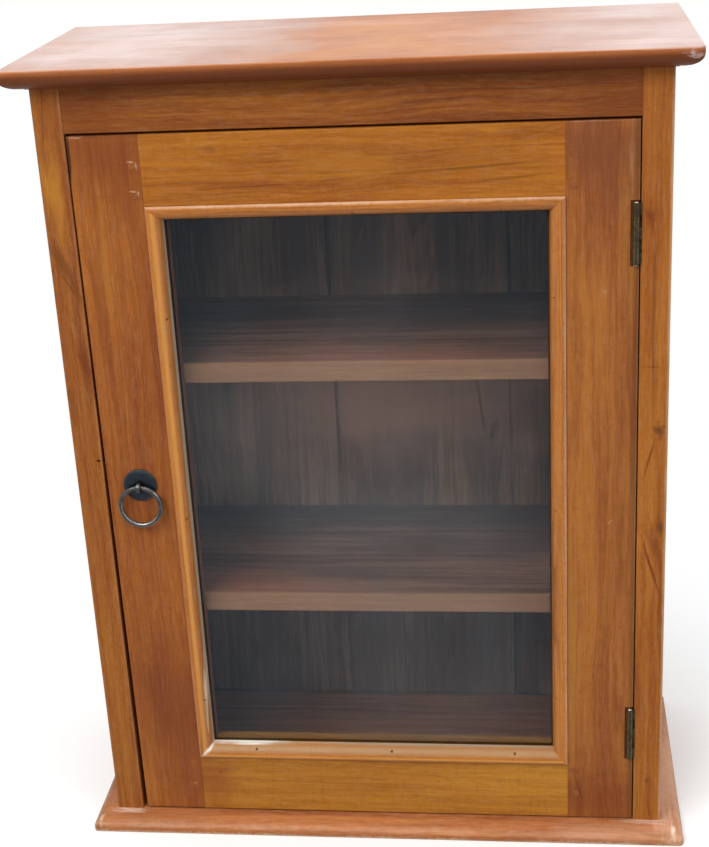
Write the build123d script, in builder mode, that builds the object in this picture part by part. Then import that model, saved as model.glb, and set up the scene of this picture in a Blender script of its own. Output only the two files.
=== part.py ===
from build123d import *

import os

# A small glazed display cabinet of solid teak. A moulded top board and a moulded base board
# house two side boards, a frieze rail, two full-depth shelves and three back planks. The
# inset door is a pegged frame with a pane held from the front by four mitred beads. It
# hangs on two butt hinges at the right and is pulled open by a loose ring at the left.
#
# Millimetres. +Z is up, the front faces -Y, and +X is to the right of someone facing the
# door. The origin is in the middle of the case's underside.

os.makedirs("parts", exist_ok=True)

# ---------------------------------------------------------------- driving dimensions

# Carcass
body_width = 500.0
body_height = 675.0  # clear height from base board to top board
body_depth = 216.0
side_thickness = 24.0
top_thickness = 17.0
base_thickness = 13.0
overhang = 20.0  # of top and base, in front and at both sides
corner_round = 5.0  # in plan, on the front corners of top and base
ledge = 2.5  # flat margin between body and moulding
quirk = 0.8  # step down from ledge to moulding
nose = 3.6  # square edge of the moulding
arris = 0.8  # worn edges
housing_depth = 4.0  # of the side boards in top and base

# Frieze rail
frieze_height = 37.0
frieze_thickness = 20.0
frieze_setback = 1.0
frieze_tenon_length = 12.0
frieze_tenon_height = 20.0
frieze_tenon_thickness = 9.0

# Shelves
shelf_thickness = 18.0
shelf_clearance = 2.0  # behind the closed door
shelf_housing = 6.0
lower_shelf_rise = 216.0  # base board to shelf top
upper_shelf_rise = 435.0

# Back planks, tongued and grooved
back_thickness = 10.0
back_rabbet = 12.0
plank_joints = (-0.1, 0.236)  # in parts of the body's width from its middle
plank_gap = 0.6
tongue_length = 5.0
tongue_thickness = 4.0
tongue_play = 0.2

# Door frame
door_thickness = 22.0
latch_gap = 1.0  # at the head of the latch stile
latch_planing = 3.2  # more at its foot, where the edge was planed to fit
hinge_gap = 1.0
door_top_gap = 2.0
door_bottom_gap = 1.5
latch_stile_face = 58.3  # from the door's edge to the glazing rabbet, at the head
hinge_stile_face = 56.7
top_rail_face = 58.0
bottom_rail_face = 56.0
rabbet_width = 14.5
rabbet_depth = 12.0
tenon_end_wood = 14.0  # left beyond the tenon across the stile
tenon_thickness = 6.5
tenon_haunch = 12.0  # wood left beyond the tenon at the end of a stile
tenon_shoulder = 2.0  # on the tenon's edge beside the glass
peg_radius = 3.1
peg_inset = 6.5  # from the rail's shoulder into the stile
peg_from_end = 25.0
peg_pitch = 24.0
peg_proud = 0.3
peg_bevel = 0.3
shoulder_ease = 0.3  # bevel of a rail's ends, where they meet the stiles

# Glazing. The pins' places along each bead are in parts of its length from its middle,
# counted from left to right below, and so on round the door.
glass_thickness = 3.0
glass_play = 1.0
bead_width = 13.0
bead_proud = 2.6
bead_play = 0.2
bead_outer_height = 1.3  # of the bead's outer wall above the door's face
bead_crest = 3.3  # from the bead's outer side to its highest line
bead_flank = 12.1  # to where the sloping face turns down to the glass
bead_flank_depth = 4.5  # below the door's face there
bead_pin_places = {
    "bottom": (-0.34, 0.03, 0.36),
    "right": (-0.37, -0.02, 0.34),
    "top": (-0.35, 0.0, 0.35),
    "left": (-0.316, 0.034, 0.383),
}
bead_pin_radius = 0.8
bead_pin_length = 14.0
bead_pin_sink = 1.4
bead_pin_mouth = 1.1
bead_pin_start = 9.6  # from the rabbet's wall
bead_pin_level = -0.3  # head's height from the door's face
bead_pin_slope = 0.3  # into the door, for each unit towards the frame

# Butt hinges
hinge_length = 50.0
hinge_from_end = 89.5  # door's end to the middle of the hinge
leaf_thickness = 1.2
leaf_width = 16.0
side_leaf_sink = 0.8  # depth of the side leaf in the side board
knuckle_count = 5
knuckle_radius = 2.6
knuckle_inset = 2.8  # barrel's middle inside the door's edge
knuckle_proud = 1.5  # barrel's middle in front of the door's face
knuckle_gap = 0.15
knuckle_clearance = 0.6  # between the barrel and the leaves' edges
knuckle_web = 1.4  # metal from a side knuckle to its leaf
notch_room = 1.7  # clear space in the stile beside and beyond the barrel
notch_clearance = 1.5  # and behind it
hinge_pin_radius = 1.2
hinge_pin_play = 0.05
hinge_cap_radius = 1.9
hinge_cap_height = 0.8
hinge_cap_bevel = 0.4
hinge_screw_pitch = 17.0

# Ring pull
pull_inset = 30.3  # door's edge to the middle of the plate
pull_below_shelf = 84.1  # well clear of the catch, which is under the upper shelf
plate_radius = 14.6
plate_rim = 1.2
plate_dome = 3.3
eye_stand_off = 6.6
eye_wall = 2.15
eye_thickness = 3.6
eye_play = 0.35  # between the ring's wire and the eye's hole
eye_round = 0.7
seat_play = 0.4  # round the eye, in the plate's middle
stem_radius = 1.6
stem_play = 0.1
stem_end = 1.5  # beyond the nut
ring_radius = 17.6  # to the middle of the wire
ring_wire = 2.1
washer_radius = 4.5
washer_thickness = 0.8
nut_across_flats = 7.0
nut_thickness = 3.2
nut_chamfer = 0.5

# Magnetic catch
catch_inset = 33.6
catch_width = 30.0
catch_height = 12.0
catch_depth = 20.0
catch_round = 1.5
catch_flange = 10.0
catch_flange_thickness = 2.0
catch_gap = 0.3
magnet_width = 14.0
magnet_height = 5.0
magnet_depth = 12.0
pole_thickness = 1.6
pole_proud = 0.4
strike_width = 34.0
strike_height = 12.0
strike_thickness = 1.2
strike_round = 3.0
strike_screw_pitch = 22.0

# Fixings
snug = 0.05  # play of a round fixing in its hole
small_shank = 1.5
small_head = 2.5
small_length = 14.0
base_shank = 2.0
base_head = 4.0
base_length = 36.0
base_head_sink = 0.5
dowel_radius = 4.0
dowel_length = 24.0
dowel_in_top = 9.0
fixing_inset = 35.0
nail_radius = 1.0
nail_head = 2.2
nail_head_thickness = 0.8
nail_length = 25.0
nail_edge = 22.0  # from a plank's edge
side_nails = 5
old_nail_radius = 1.3
old_nail_depth = 8.0
old_nail_rise = 355.4
old_nail_inset = 3.2

# ------------------------------------------------------------------ derived positions

half_body = body_width / 2
side_inner = half_body - side_thickness
side_middle = half_body - side_thickness / 2
case_depth = body_depth + overhang
front = overhang - case_depth / 2
back = front + body_depth
back_inner = back - back_thickness
floor_z = base_thickness
ceiling_z = floor_z + body_height
case_height = ceiling_z + top_thickness

door_left = -side_inner + latch_gap
door_right = side_inner - hinge_gap
door_bottom = floor_z + door_bottom_gap
door_top = ceiling_z - frieze_height - door_top_gap
door_back = front + door_thickness

# The opening that the glazing rabbet makes in the door's face, and the sight opening in it
opening_left = door_left + latch_stile_face
opening_right = door_right - hinge_stile_face
opening_bottom = door_bottom + bottom_rail_face
opening_top = door_top - top_rail_face
sight_left = opening_left + rabbet_width
sight_right = opening_right - rabbet_width
sight_bottom = opening_bottom + rabbet_width
sight_top = opening_top - rabbet_width
rabbet_floor = front + rabbet_depth
glass_front = rabbet_floor - glass_thickness

shelf_tops = {"lower": floor_z + lower_shelf_rise, "upper": floor_z + upper_shelf_rise}
shelf_front = door_back + shelf_clearance

pin_x = door_right - knuckle_inset
pin_y = front - knuckle_proud
barrel_back = pin_y + knuckle_radius
leaf_front = barrel_back + knuckle_clearance
leaf_back = leaf_front + leaf_width
hinge_heights = {
    "lower": door_bottom + hinge_from_end,
    "upper": door_top - hinge_from_end,
}

eye_hole = ring_wire + eye_play
eye_radius = eye_hole + eye_wall
pull_x = door_left + pull_inset
pull_z = shelf_tops["upper"] - shelf_thickness - pull_below_shelf

fixing_rows = (
    front + fixing_inset,
    (front + back_inner) / 2,
    back_inner - fixing_inset,
)

# --------------------------------------------------------------------------- helpers


def save(builder, node):
    """Label a finished piece and write it as the node's STEP file."""
    builder.part.label = node
    export_step(builder.part, f"parts/{node}.step")


def block(x_pair, y_pair, z_pair, mode=Mode.ADD):
    """Join a block between two opposite corners to the piece being built."""
    x0, x1 = sorted(x_pair)
    y0, y1 = sorted(y_pair)
    z0, z1 = sorted(z_pair)
    with Locations(((x0 + x1) / 2, (y0 + y1) / 2, (z0 + z1) / 2)):
        Box(x1 - x0, y1 - y0, z1 - z0, mode=mode)


def around(middle, size):
    """Return the two ends of a size about its middle."""
    return (middle - size / 2, middle + size / 2)


def screws(node, heads, length, shank, head):
    """Make slotted countersunk screws, one for each plane, whose normal leaves the wood."""
    point_length = 2 * shank
    slot_size = head / 4
    with BuildPart() as group:
        for plane in heads:
            with BuildSketch(Plane(plane.origin, x_dir=plane.x_dir, z_dir=plane.y_dir)):
                with BuildLine():
                    Polyline(
                        (0, 0),
                        (head, 0),
                        (shank, head - shank),
                        (shank, length - point_length),
                        (0, length),
                        close=True,
                    )
                make_face()
            revolve(axis=Axis(plane.origin, plane.z_dir))
            with BuildSketch(plane):
                Rectangle(3 * head, slot_size)
            extrude(amount=-slot_size, mode=Mode.SUBTRACT)
    save(group, node)


def bore(planes, depth, radius):
    """Bore the piece being built from each plane, with play for a round fixing."""
    with Locations(*planes):
        Hole(radius + snug, depth=depth)


def countersink(planes, depth, shank, head):
    """Bore and countersink the piece being built for screws whose heads end flush."""
    with Locations(*planes):
        CounterSinkHole(shank + snug, head + snug, depth=depth, counter_sink_angle=90)


# ----------------------------------------------------------- top board and base board

base_screw_heads = {
    side: [
        Plane((side * side_middle, row, base_head_sink), x_dir=(0, 1, 0), z_dir=(0, 0, -1))
        for row in fixing_rows
    ]
    for side in (-1, 1)
}
dowel_mouths = {
    side: [
        Plane((side * side_middle, row, ceiling_z + housing_depth), z_dir=(0, 0, -1))
        for row in fixing_rows
    ]
    for side in (-1, 1)
}


def moulded_outline(flat, run, thickness):
    """Return a moulded board's section: x from its flat start out to the nose, y inwards.

    The outer face lies at y = 0, and the body's face meets the board at x = flat + run.
    """
    body_face = flat + run
    tip = body_face + overhang
    with BuildLine() as outline:
        outer = Polyline((flat, 0), (tip - arris, 0), (tip, arris), (tip, nose))
        ovolo = EllipticalCenterArc(
            (body_face + ledge, nose),
            overhang - ledge,
            thickness - quirk - nose,
            start_angle=0,
            arc_size=90,
        )
        Polyline(ovolo @ 1, (body_face + ledge, thickness), (flat, thickness), outer @ 0)
    return outline.line


def moulded_board(node, outer_z, inward, thickness):
    """Make the top or base board, with an ovolo worked on its front and its two ends.

    The board is what three prisms have in common: its section seen from the front, its
    section seen from the side and its outline seen from above.
    """
    half_length = half_body + overhang
    inner_z = outer_z + inward * thickness
    with BuildPart() as board:
        ends = Plane((0, back, outer_z), x_dir=(inward, 0, 0), z_dir=(0, -1, 0))
        with BuildSketch(ends):
            add(moulded_outline(0, half_body, thickness))
            make_face()
            mirror(about=Plane.YZ)
        extrude(amount=case_depth)
        profile = Plane((0, back, outer_z), x_dir=(0, -1, 0), z_dir=(-inward, 0, 0))
        with BuildSketch(profile):
            add(moulded_outline(0, body_depth, thickness))
            make_face()
        extrude(amount=half_length, both=True, mode=Mode.INTERSECT)
        with BuildSketch(Plane.XY.offset(outer_z)) as outline:
            with Locations((0, back - case_depth / 2)):
                Rectangle(2 * half_length, case_depth)
            fillet(outline.vertices().group_by(Axis.Y)[0], radius=corner_round)
        extrude(amount=inward * thickness, mode=Mode.INTERSECT)
        for side in (-1, 1):
            housing_x = (side * side_inner, side * half_body)
            housing_z = (inner_z, inner_z - inward * housing_depth)
            block(housing_x, (front, back), housing_z, mode=Mode.SUBTRACT)
            if inward > 0:
                countersink(base_screw_heads[side], base_length, base_shank, base_head)
            else:
                bore(dowel_mouths[side], dowel_in_top, dowel_radius)
    save(board, node)


moulded_board("base_board", 0, 1, base_thickness)
moulded_board("top_board", case_height, -1, top_thickness)

screws(
    "base_screws",
    base_screw_heads[-1] + base_screw_heads[1],
    base_length,
    base_shank,
    base_head,
)

dowel_in_side = dowel_length - dowel_in_top
with BuildPart() as dowels:
    for mouth in dowel_mouths[-1] + dowel_mouths[1]:
        with BuildSketch(mouth.offset(dowel_in_side)):
            Circle(dowel_radius)
        extrude(amount=-dowel_length)
save(dowels, "top_dowels")

# ------------------------------------------------------- side boards and their fixings

frieze_bottom = ceiling_z - frieze_height
frieze_y = (front + frieze_setback, front + frieze_setback + frieze_thickness)
frieze_tenon_y = around(sum(frieze_y) / 2, frieze_tenon_thickness)
frieze_tenon_z = around(ceiling_z - frieze_height / 2, frieze_tenon_height)

hinge_screw_y = (leaf_front + leaf_back) / 2
hinge_screw_z = {
    end: [middle + step * hinge_screw_pitch for step in (-1, 0, 1)]
    for end, middle in hinge_heights.items()
}
side_leaf_seat = side_inner + side_leaf_sink
side_leaf_x = (side_leaf_seat - leaf_thickness, side_leaf_seat)
side_leaf_heads = {
    end: [Plane((side_leaf_x[0], hinge_screw_y, z), z_dir=(-1, 0, 0)) for z in heights]
    for end, heights in hinge_screw_z.items()
}
door_leaf_x = (door_right - leaf_thickness, door_right)
door_leaf_heads = {
    end: [Plane((door_leaf_x[1], hinge_screw_y, z), z_dir=(1, 0, 0)) for z in heights]
    for end, heights in hinge_screw_z.items()
}

plank_names = ("left", "middle", "right")
plank_reach = side_inner + back_rabbet
plank_edges = (
    -plank_reach,
    *[place * body_width for place in plank_joints],
    plank_reach,
)
side_nail_pitch = (body_height - 2 * fixing_inset) / (side_nails - 1)
side_nail_heads = {
    side: [
        Plane(
            (
                side * (side_inner + back_rabbet / 2),
                back,
                floor_z + fixing_inset + number * side_nail_pitch,
            ),
            z_dir=(0, 1, 0),
        )
        for number in range(side_nails)
    ]
    for side in (-1, 1)
}
shelf_nail_x = [
    nail_x
    for left, right in zip(plank_edges, plank_edges[1:])
    for nail_x in (
        max(left, -side_inner) + nail_edge,
        min(right, side_inner) - nail_edge,
    )
]
shelf_nail_heads = {
    name: [
        Plane((nail_x, back, shelf_top - shelf_thickness / 2), z_dir=(0, 1, 0))
        for nail_x in shelf_nail_x
    ]
    for name, shelf_top in shelf_tops.items()
}
all_nail_heads = [
    plane
    for group in (side_nail_heads, shelf_nail_heads)
    for planes in group.values()
    for plane in planes
]


def side_board(node, side):
    """Make one side board: rear rabbet, housings, mortise, hinge seats, fixing holes."""
    with BuildPart() as board:
        block(
            (side * side_inner, side * half_body),
            (front, back),
            (floor_z - housing_depth, ceiling_z + housing_depth),
        )
        fillet(board.edges().filter_by(Axis.Z).group_by(Axis.Y)[0], radius=arris)
        block(
            (side * side_inner, side * plank_reach),
            (back_inner, back),
            (floor_z, ceiling_z),
            mode=Mode.SUBTRACT,
        )
        for shelf_top in shelf_tops.values():
            block(
                (side * side_inner, side * (side_inner + shelf_housing)),
                (shelf_front, back_inner),
                (shelf_top - shelf_thickness, shelf_top),
                mode=Mode.SUBTRACT,
            )
        block(
            (side * side_inner, side * (side_inner + frieze_tenon_length)),
            frieze_tenon_y,
            frieze_tenon_z,
            mode=Mode.SUBTRACT,
        )
        bore(dowel_mouths[side], dowel_in_side, dowel_radius)
        bore(base_screw_heads[side], base_length, base_shank)
        bore(side_nail_heads[side], nail_length, nail_radius)
        if side > 0:
            for end, middle in hinge_heights.items():
                block(
                    (side_inner, side_leaf_seat),
                    (front, leaf_back),
                    around(middle, hinge_length),
                    mode=Mode.SUBTRACT,
                )
                bore(side_leaf_heads[end], small_length, small_shank)
        else:
            old_nail = (-side_inner - old_nail_inset, front, floor_z + old_nail_rise)
            with Locations(Plane(old_nail, z_dir=(0, -1, 0))):
                Hole(old_nail_radius, depth=old_nail_depth)
    save(board, node)


side_board("side_panel_left", -1)
side_board("side_panel_right", 1)

# --------------------------------------------------------- frieze rail, shelves and back

with BuildPart() as frieze:
    block((-side_inner, side_inner), frieze_y, (frieze_bottom, ceiling_z))
    fillet(frieze.edges().filter_by(Axis.X).group_by(Axis.Z)[0], radius=arris)
    tenon_reach = side_inner + frieze_tenon_length
    block((-tenon_reach, tenon_reach), frieze_tenon_y, frieze_tenon_z)
save(frieze, "frieze_rail")

catch_x = door_left + catch_inset
catch_top = shelf_tops["upper"] - shelf_thickness
catch_z = (catch_top - catch_height, catch_top)
catch_front = door_back + strike_thickness + catch_gap + pole_proud
catch_y = (catch_front, catch_front + catch_depth)
catch_screw_heads = [
    Plane((x, sum(catch_y) / 2, catch_top - catch_flange_thickness), z_dir=(0, 0, -1))
    for x in around(catch_x, catch_width + catch_flange)
]

for shelf_name, shelf_top in shelf_tops.items():
    with BuildPart() as shelf:
        shelf_reach = side_inner + shelf_housing
        block(
            (-shelf_reach, shelf_reach),
            (shelf_front, back_inner),
            (shelf_top - shelf_thickness, shelf_top),
        )
        fillet(shelf.edges().filter_by(Axis.X).group_by(Axis.Y)[0], radius=arris)
        bore(shelf_nail_heads[shelf_name], nail_length, nail_radius)
        if shelf_name == "upper":
            bore(catch_screw_heads, small_length, small_shank)
    save(shelf, f"shelf_{shelf_name}")

plank_middle_y = back - back_thickness / 2
for number, plank_name in enumerate(plank_names):
    has_groove = number > 0
    has_tongue = number < len(plank_names) - 1
    plank_left = plank_edges[number] + (plank_gap / 2 if has_groove else 0)
    plank_right = plank_edges[number + 1] - (plank_gap / 2 if has_tongue else 0)
    with BuildPart() as plank:
        block((plank_left, plank_right), (back_inner, back), (floor_z, ceiling_z))
        if has_tongue:
            block(
                (plank_right, plank_right + tongue_length),
                around(plank_middle_y, tongue_thickness),
                (floor_z, ceiling_z),
            )
        if has_groove:
            block(
                (plank_left, plank_left + tongue_length - plank_gap + tongue_play),
                around(plank_middle_y, tongue_thickness + 2 * tongue_play),
                (floor_z, ceiling_z),
                mode=Mode.SUBTRACT,
            )
        nails_here = [
            plane for plane in all_nail_heads if plank_left < plane.origin.X < plank_right
        ]
        bore(nails_here, back_thickness, nail_radius)
        bore(nails_here, nail_head_thickness, nail_head)
    save(plank, f"back_board_{plank_name}")

with BuildPart() as nails:
    for nail_top in all_nail_heads:
        with BuildSketch(nail_top):
            Circle(nail_head)
        extrude(amount=-nail_head_thickness)
        with BuildSketch(nail_top):
            Circle(nail_radius)
        extrude(amount=-nail_length)
save(nails, "back_nails")

# ------------------------------------------------------------------------- door frame

tenon_y = around(front + door_thickness / 2, tenon_thickness)
narrow_stile_face = min(latch_stile_face - latch_planing, hinge_stile_face)
tenon_length = narrow_stile_face - tenon_end_wood
rail_tenon_z = {
    "bottom": (door_bottom + tenon_haunch, opening_bottom - tenon_shoulder),
    "top": (opening_top + tenon_shoulder, door_top - tenon_haunch),
}
peg_heights = [
    end + into_door * (peg_from_end + step * peg_pitch)
    for end, into_door in ((door_bottom, 1), (door_top, -1))
    for step in (0, 1)
]
peg_columns = {"left": opening_left - peg_inset, "right": opening_right + peg_inset}

strike_y = (door_back, door_back + strike_thickness)
strike_z = around(sum(catch_z) / 2, strike_height)
strike_screw_heads = [
    Plane((x, strike_y[1], sum(strike_z) / 2), z_dir=(0, 1, 0))
    for x in around(catch_x, strike_screw_pitch)
]

# Each bead lies on an edge of the opening. The edge's plane has x along the bead, y
# towards the glass and its normal out of the door.
opening_x = (opening_left + opening_right) / 2
opening_z = (opening_bottom + opening_top) / 2
opening_width = opening_right - opening_left
opening_height = opening_top - opening_bottom
bead_edges = {
    "bottom": Plane((opening_x, front, opening_bottom), (1, 0, 0), (0, -1, 0)),
    "right": Plane((opening_right, front, opening_z), (0, 0, 1), (0, -1, 0)),
    "top": Plane((opening_x, front, opening_top), (-1, 0, 0), (0, -1, 0)),
    "left": Plane((opening_left, front, opening_z), (0, 0, -1), (0, -1, 0)),
}
bead_lengths = {
    "bottom": opening_width,
    "right": opening_height,
    "top": opening_width,
    "left": opening_height,
}
bead_pin_heads = {
    name: [
        Plane(
            edge.from_local_coords(
                Vector(place * bead_lengths[name], bead_pin_start, bead_pin_level)
            ),
            x_dir=edge.x_dir,
            z_dir=edge.y_dir + edge.z_dir * bead_pin_slope,
        )
        for place in bead_pin_places[name]
    ]
    for name, edge in bead_edges.items()
}


def peg_holes(columns):
    """Bore the piece being built through for the pegs in the given columns."""
    for column in columns:
        faces = [Plane((column, front, z), z_dir=(0, -1, 0)) for z in peg_heights]
        bore(faces, door_thickness, peg_radius)


def stile(node, side, outer, opening, sight):
    """Make one upright of the door, rabbeted for the glass and mortised for both rails."""
    outward = -1 if side == "left" else 1
    with BuildPart() as upright:
        block((outer, sight), (front, door_back), (door_bottom, door_top))
        if side == "left":
            with BuildSketch(Plane((0, front, 0), x_dir=(1, 0, 0), z_dir=(0, -1, 0))):
                with BuildLine():
                    Polyline(
                        (outer, door_bottom),
                        (outer + latch_planing, door_bottom),
                        (outer, door_top),
                        close=True,
                    )
                make_face()
            extrude(amount=-door_thickness, mode=Mode.SUBTRACT)
        face_edges = upright.faces().sort_by(Axis.Y)[0].edges()
        upright_edges = face_edges.filter_by(Axis.X, reverse=True).sort_by(Axis.X)
        outer_edge = upright_edges[0 if side == "left" else -1]
        fillet([outer_edge, *face_edges.filter_by(Axis.X)], radius=arris)
        block((opening, sight), (front, rabbet_floor), (door_bottom, door_top), Mode.SUBTRACT)
        for tenon_z in rail_tenon_z.values():
            mortise_x = (opening + outward * tenon_length, sight)
            block(mortise_x, tenon_y, tenon_z, mode=Mode.SUBTRACT)
        peg_holes([peg_columns[side]])
        bore(bead_pin_heads[side], bead_pin_length, bead_pin_radius)
        if side == "left":
            with Locations(Plane((pull_x, front, pull_z), z_dir=(0, -1, 0))):
                Hole(stem_radius + stem_play, depth=door_thickness)
            bore(strike_screw_heads, small_length, small_shank)
        else:
            for end, middle in hinge_heights.items():
                block(
                    (pin_x - knuckle_radius - notch_room, outer),
                    (front, barrel_back + notch_clearance),
                    around(middle, hinge_length + 2 * notch_room),
                    mode=Mode.SUBTRACT,
                )
                block(
                    door_leaf_x,
                    (front, leaf_back),
                    around(middle, hinge_length),
                    mode=Mode.SUBTRACT,
                )
                bore(door_leaf_heads[end], small_length, small_shank)
    save(upright, node)


def rail(node, end, outer, opening, sight):
    """Make one crosspiece, whose front shoulders reach further than those at its back."""
    with BuildPart() as crosspiece:
        block((opening_left, opening_right), (front, rabbet_floor), (outer, opening))
        face_edges = crosspiece.faces().sort_by(Axis.Y)[0].edges().filter_by(Axis.X)
        fillet(face_edges.sort_by(Axis.Z)[0 if end == "bottom" else -1], radius=arris)
        shoulders = crosspiece.faces().sort_by(Axis.Y)[0].edges().filter_by(Axis.Z)
        chamfer(shoulders, length=shoulder_ease)
        block((sight_left, sight_right), (rabbet_floor, door_back), (outer, sight))
        tenon_x = (opening_left - tenon_length, opening_right + tenon_length)
        block(tenon_x, tenon_y, rail_tenon_z[end])
        peg_holes(peg_columns.values())
        bore(bead_pin_heads[end], bead_pin_length, bead_pin_radius)
    save(crosspiece, node)


stile("door_stile_latch", "left", door_left, opening_left, sight_left)
stile("door_stile_hinge", "right", door_right, opening_right, sight_right)
rail("door_rail_bottom", "bottom", door_bottom, opening_bottom, sight_bottom)
rail("door_rail_top", "top", door_top, opening_top, sight_top)

with BuildPart() as pegs:
    for peg_x in peg_columns.values():
        for peg_z in peg_heights:
            with BuildSketch(Plane((peg_x, door_back, peg_z), z_dir=(0, -1, 0))):
                Circle(peg_radius)
            extrude(amount=door_thickness + peg_proud)
    front_rims = pegs.edges().filter_by(GeomType.CIRCLE).group_by(Axis.Y)[0]
    chamfer(front_rims, length=peg_bevel)
save(pegs, "door_pegs")

# ------------------------------------------------------------------ glass, beads, pins

with BuildPart() as pane:
    block(
        (opening_left + glass_play, opening_right - glass_play),
        (glass_front, rabbet_floor),
        (opening_bottom + glass_play, opening_top - glass_play),
    )
save(pane, "glass_pane")

bead_depth = glass_front - front
for bead_name, edge in bead_edges.items():
    half_bead = bead_lengths[bead_name] / 2
    with BuildPart() as bead:
        with BuildSketch(Plane(edge.origin, x_dir=edge.y_dir, z_dir=edge.x_dir)):
            with BuildLine():
                wall = Polyline(
                    (bead_width, -bead_depth),
                    (bead_play, -bead_depth),
                    (bead_play, bead_outer_height),
                )
                crest = TangentArc(
                    (bead_crest, bead_proud),
                    wall @ 1,
                    tangent=(-1, 0),
                )
                slope = TangentArc(
                    crest @ 0,
                    (bead_flank, -bead_flank_depth),
                    tangent=(1, 0),
                )
                Line(slope @ 1, wall @ 0)
            make_face()
        extrude(amount=half_bead, both=True)
        with BuildSketch(edge.offset(-bead_depth)):
            with BuildLine():
                Polyline(
                    (-half_bead, 0),
                    (half_bead, 0),
                    (half_bead - 2 * bead_width, 2 * bead_width),
                    (2 * bead_width - half_bead, 2 * bead_width),
                    close=True,
                )
            make_face()
        extrude(amount=bead_depth + 2 * bead_proud, mode=Mode.INTERSECT)
        bore(bead_pin_heads[bead_name], bead_pin_length, bead_pin_radius)
        bore(bead_pin_heads[bead_name], bead_pin_sink, bead_pin_mouth)
    save(bead, f"bead_{bead_name}")

with BuildPart() as pins:
    for heads in bead_pin_heads.values():
        for pin_head in heads:
            with BuildSketch(pin_head.offset(-bead_pin_sink)):
                Circle(bead_pin_radius)
            extrude(amount=bead_pin_sink - bead_pin_length)
save(pins, "bead_pins")

# ----------------------------------------------------------------------------- hinges

knuckle_step = (hinge_length + knuckle_gap) / knuckle_count
knuckle_length = knuckle_step - knuckle_gap


def hinge_leaf(node, middle, first_knuckle, leaf_x, webs, heads):
    """Make one leaf with every second knuckle, from the lowest (0) or the next one (1).

    Webs are the x and y ranges of the metal that joins each knuckle to the leaf.
    """
    with BuildPart() as leaf:
        block(leaf_x, (leaf_front, leaf_back), around(middle, hinge_length))
        for knuckle in range(first_knuckle, knuckle_count, 2):
            low = middle - hinge_length / 2 + knuckle * knuckle_step
            with BuildSketch(Plane((pin_x, pin_y, low))):
                Circle(knuckle_radius)
            extrude(amount=knuckle_length)
            for web_x, web_y in webs:
                block(web_x, web_y, (low, low + knuckle_length))
        with Locations((pin_x, pin_y, middle)):
            Hole(hinge_pin_radius + hinge_pin_play, depth=hinge_length)
        countersink(heads, small_length, small_shank, small_head)
    save(leaf, node)


# A side knuckle's web crosses the gap behind the barrel, and then turns along its leaf.
side_web_y = (barrel_back - knuckle_web, barrel_back)
side_webs = (
    ((pin_x, side_leaf_seat), side_web_y),
    (side_leaf_x, (side_web_y[0], leaf_front)),
)
door_webs = ((door_leaf_x, (pin_y, leaf_front)),)
for end, middle in hinge_heights.items():
    hinge_leaf(
        f"hinge_{end}_side_leaf", middle, 0, side_leaf_x, side_webs, side_leaf_heads[end]
    )
    hinge_leaf(
        f"hinge_{end}_door_leaf", middle, 1, door_leaf_x, door_webs, door_leaf_heads[end]
    )

with BuildPart() as hinge_pins:
    for middle in hinge_heights.values():
        pin_axis = Plane((pin_x, pin_y, middle), x_dir=(1, 0, 0), z_dir=(0, -1, 0))
        half_pin = hinge_length / 2
        with BuildSketch(pin_axis):
            with BuildLine():
                Polyline(
                    (0, -half_pin - hinge_cap_height),
                    (hinge_cap_radius - hinge_cap_bevel, -half_pin - hinge_cap_height),
                    (hinge_cap_radius, hinge_cap_bevel - half_pin - hinge_cap_height),
                    (hinge_cap_radius, -half_pin),
                    (hinge_pin_radius, -half_pin),
                    (hinge_pin_radius, half_pin),
                    (hinge_cap_radius, half_pin),
                    (hinge_cap_radius, half_pin + hinge_cap_height - hinge_cap_bevel),
                    (hinge_cap_radius - hinge_cap_bevel, half_pin + hinge_cap_height),
                    (0, half_pin + hinge_cap_height),
                    close=True,
                )
            make_face()
        revolve(axis=Axis(pin_axis.origin, (0, 0, 1)))
save(hinge_pins, "hinge_pins")

side_leaf_screws = side_leaf_heads["lower"] + side_leaf_heads["upper"]
door_leaf_screws = door_leaf_heads["lower"] + door_leaf_heads["upper"]
screws("hinge_screws_side", side_leaf_screws, small_length, small_shank, small_head)
screws("hinge_screws_door", door_leaf_screws, small_length, small_shank, small_head)

# -------------------------------------------------------------------------- ring pull

eye_y = front - eye_stand_off
seat_radius = eye_radius + seat_play
seat_height = eye_stand_off - eye_radius
pull_section = Plane((pull_x, front, pull_z), x_dir=(1, 0, 0), z_dir=(0, 0, -1))
with BuildPart() as backplate:
    with BuildSketch(pull_section):
        with BuildLine():
            foot = Polyline(
                (seat_radius, plate_dome),
                (seat_radius, seat_height),
                (stem_radius + stem_play, seat_height),
                (stem_radius + stem_play, 0),
                (plate_radius, 0),
                (plate_radius, plate_rim),
            )
            TangentArc(foot @ 0, foot @ 1, tangent=(1, 0))
        make_face()
    revolve(axis=Axis(pull_section.origin, (0, -1, 0)))
save(backplate, "pull_backplate")

stem_length = eye_stand_off + door_thickness + washer_thickness + nut_thickness + stem_end
eye_centre = (pull_x, eye_y, pull_z)
with BuildPart() as eye:
    with BuildSketch(Plane(eye_centre, x_dir=(0, 0, 1), z_dir=(1, 0, 0))):
        Circle(eye_radius)
    extrude(amount=eye_thickness / 2, both=True)
    fillet(eye.edges().filter_by(GeomType.CIRCLE), radius=eye_round)
    with BuildSketch(Plane(eye_centre, x_dir=(1, 0, 0), z_dir=(0, 1, 0))):
        Circle(stem_radius)
    extrude(amount=stem_length)
    with Locations(Plane(eye_centre, x_dir=(0, 0, 1), z_dir=(1, 0, 0))):
        Hole(eye_hole, depth=eye_thickness)
save(eye, "pull_eye")

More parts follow.
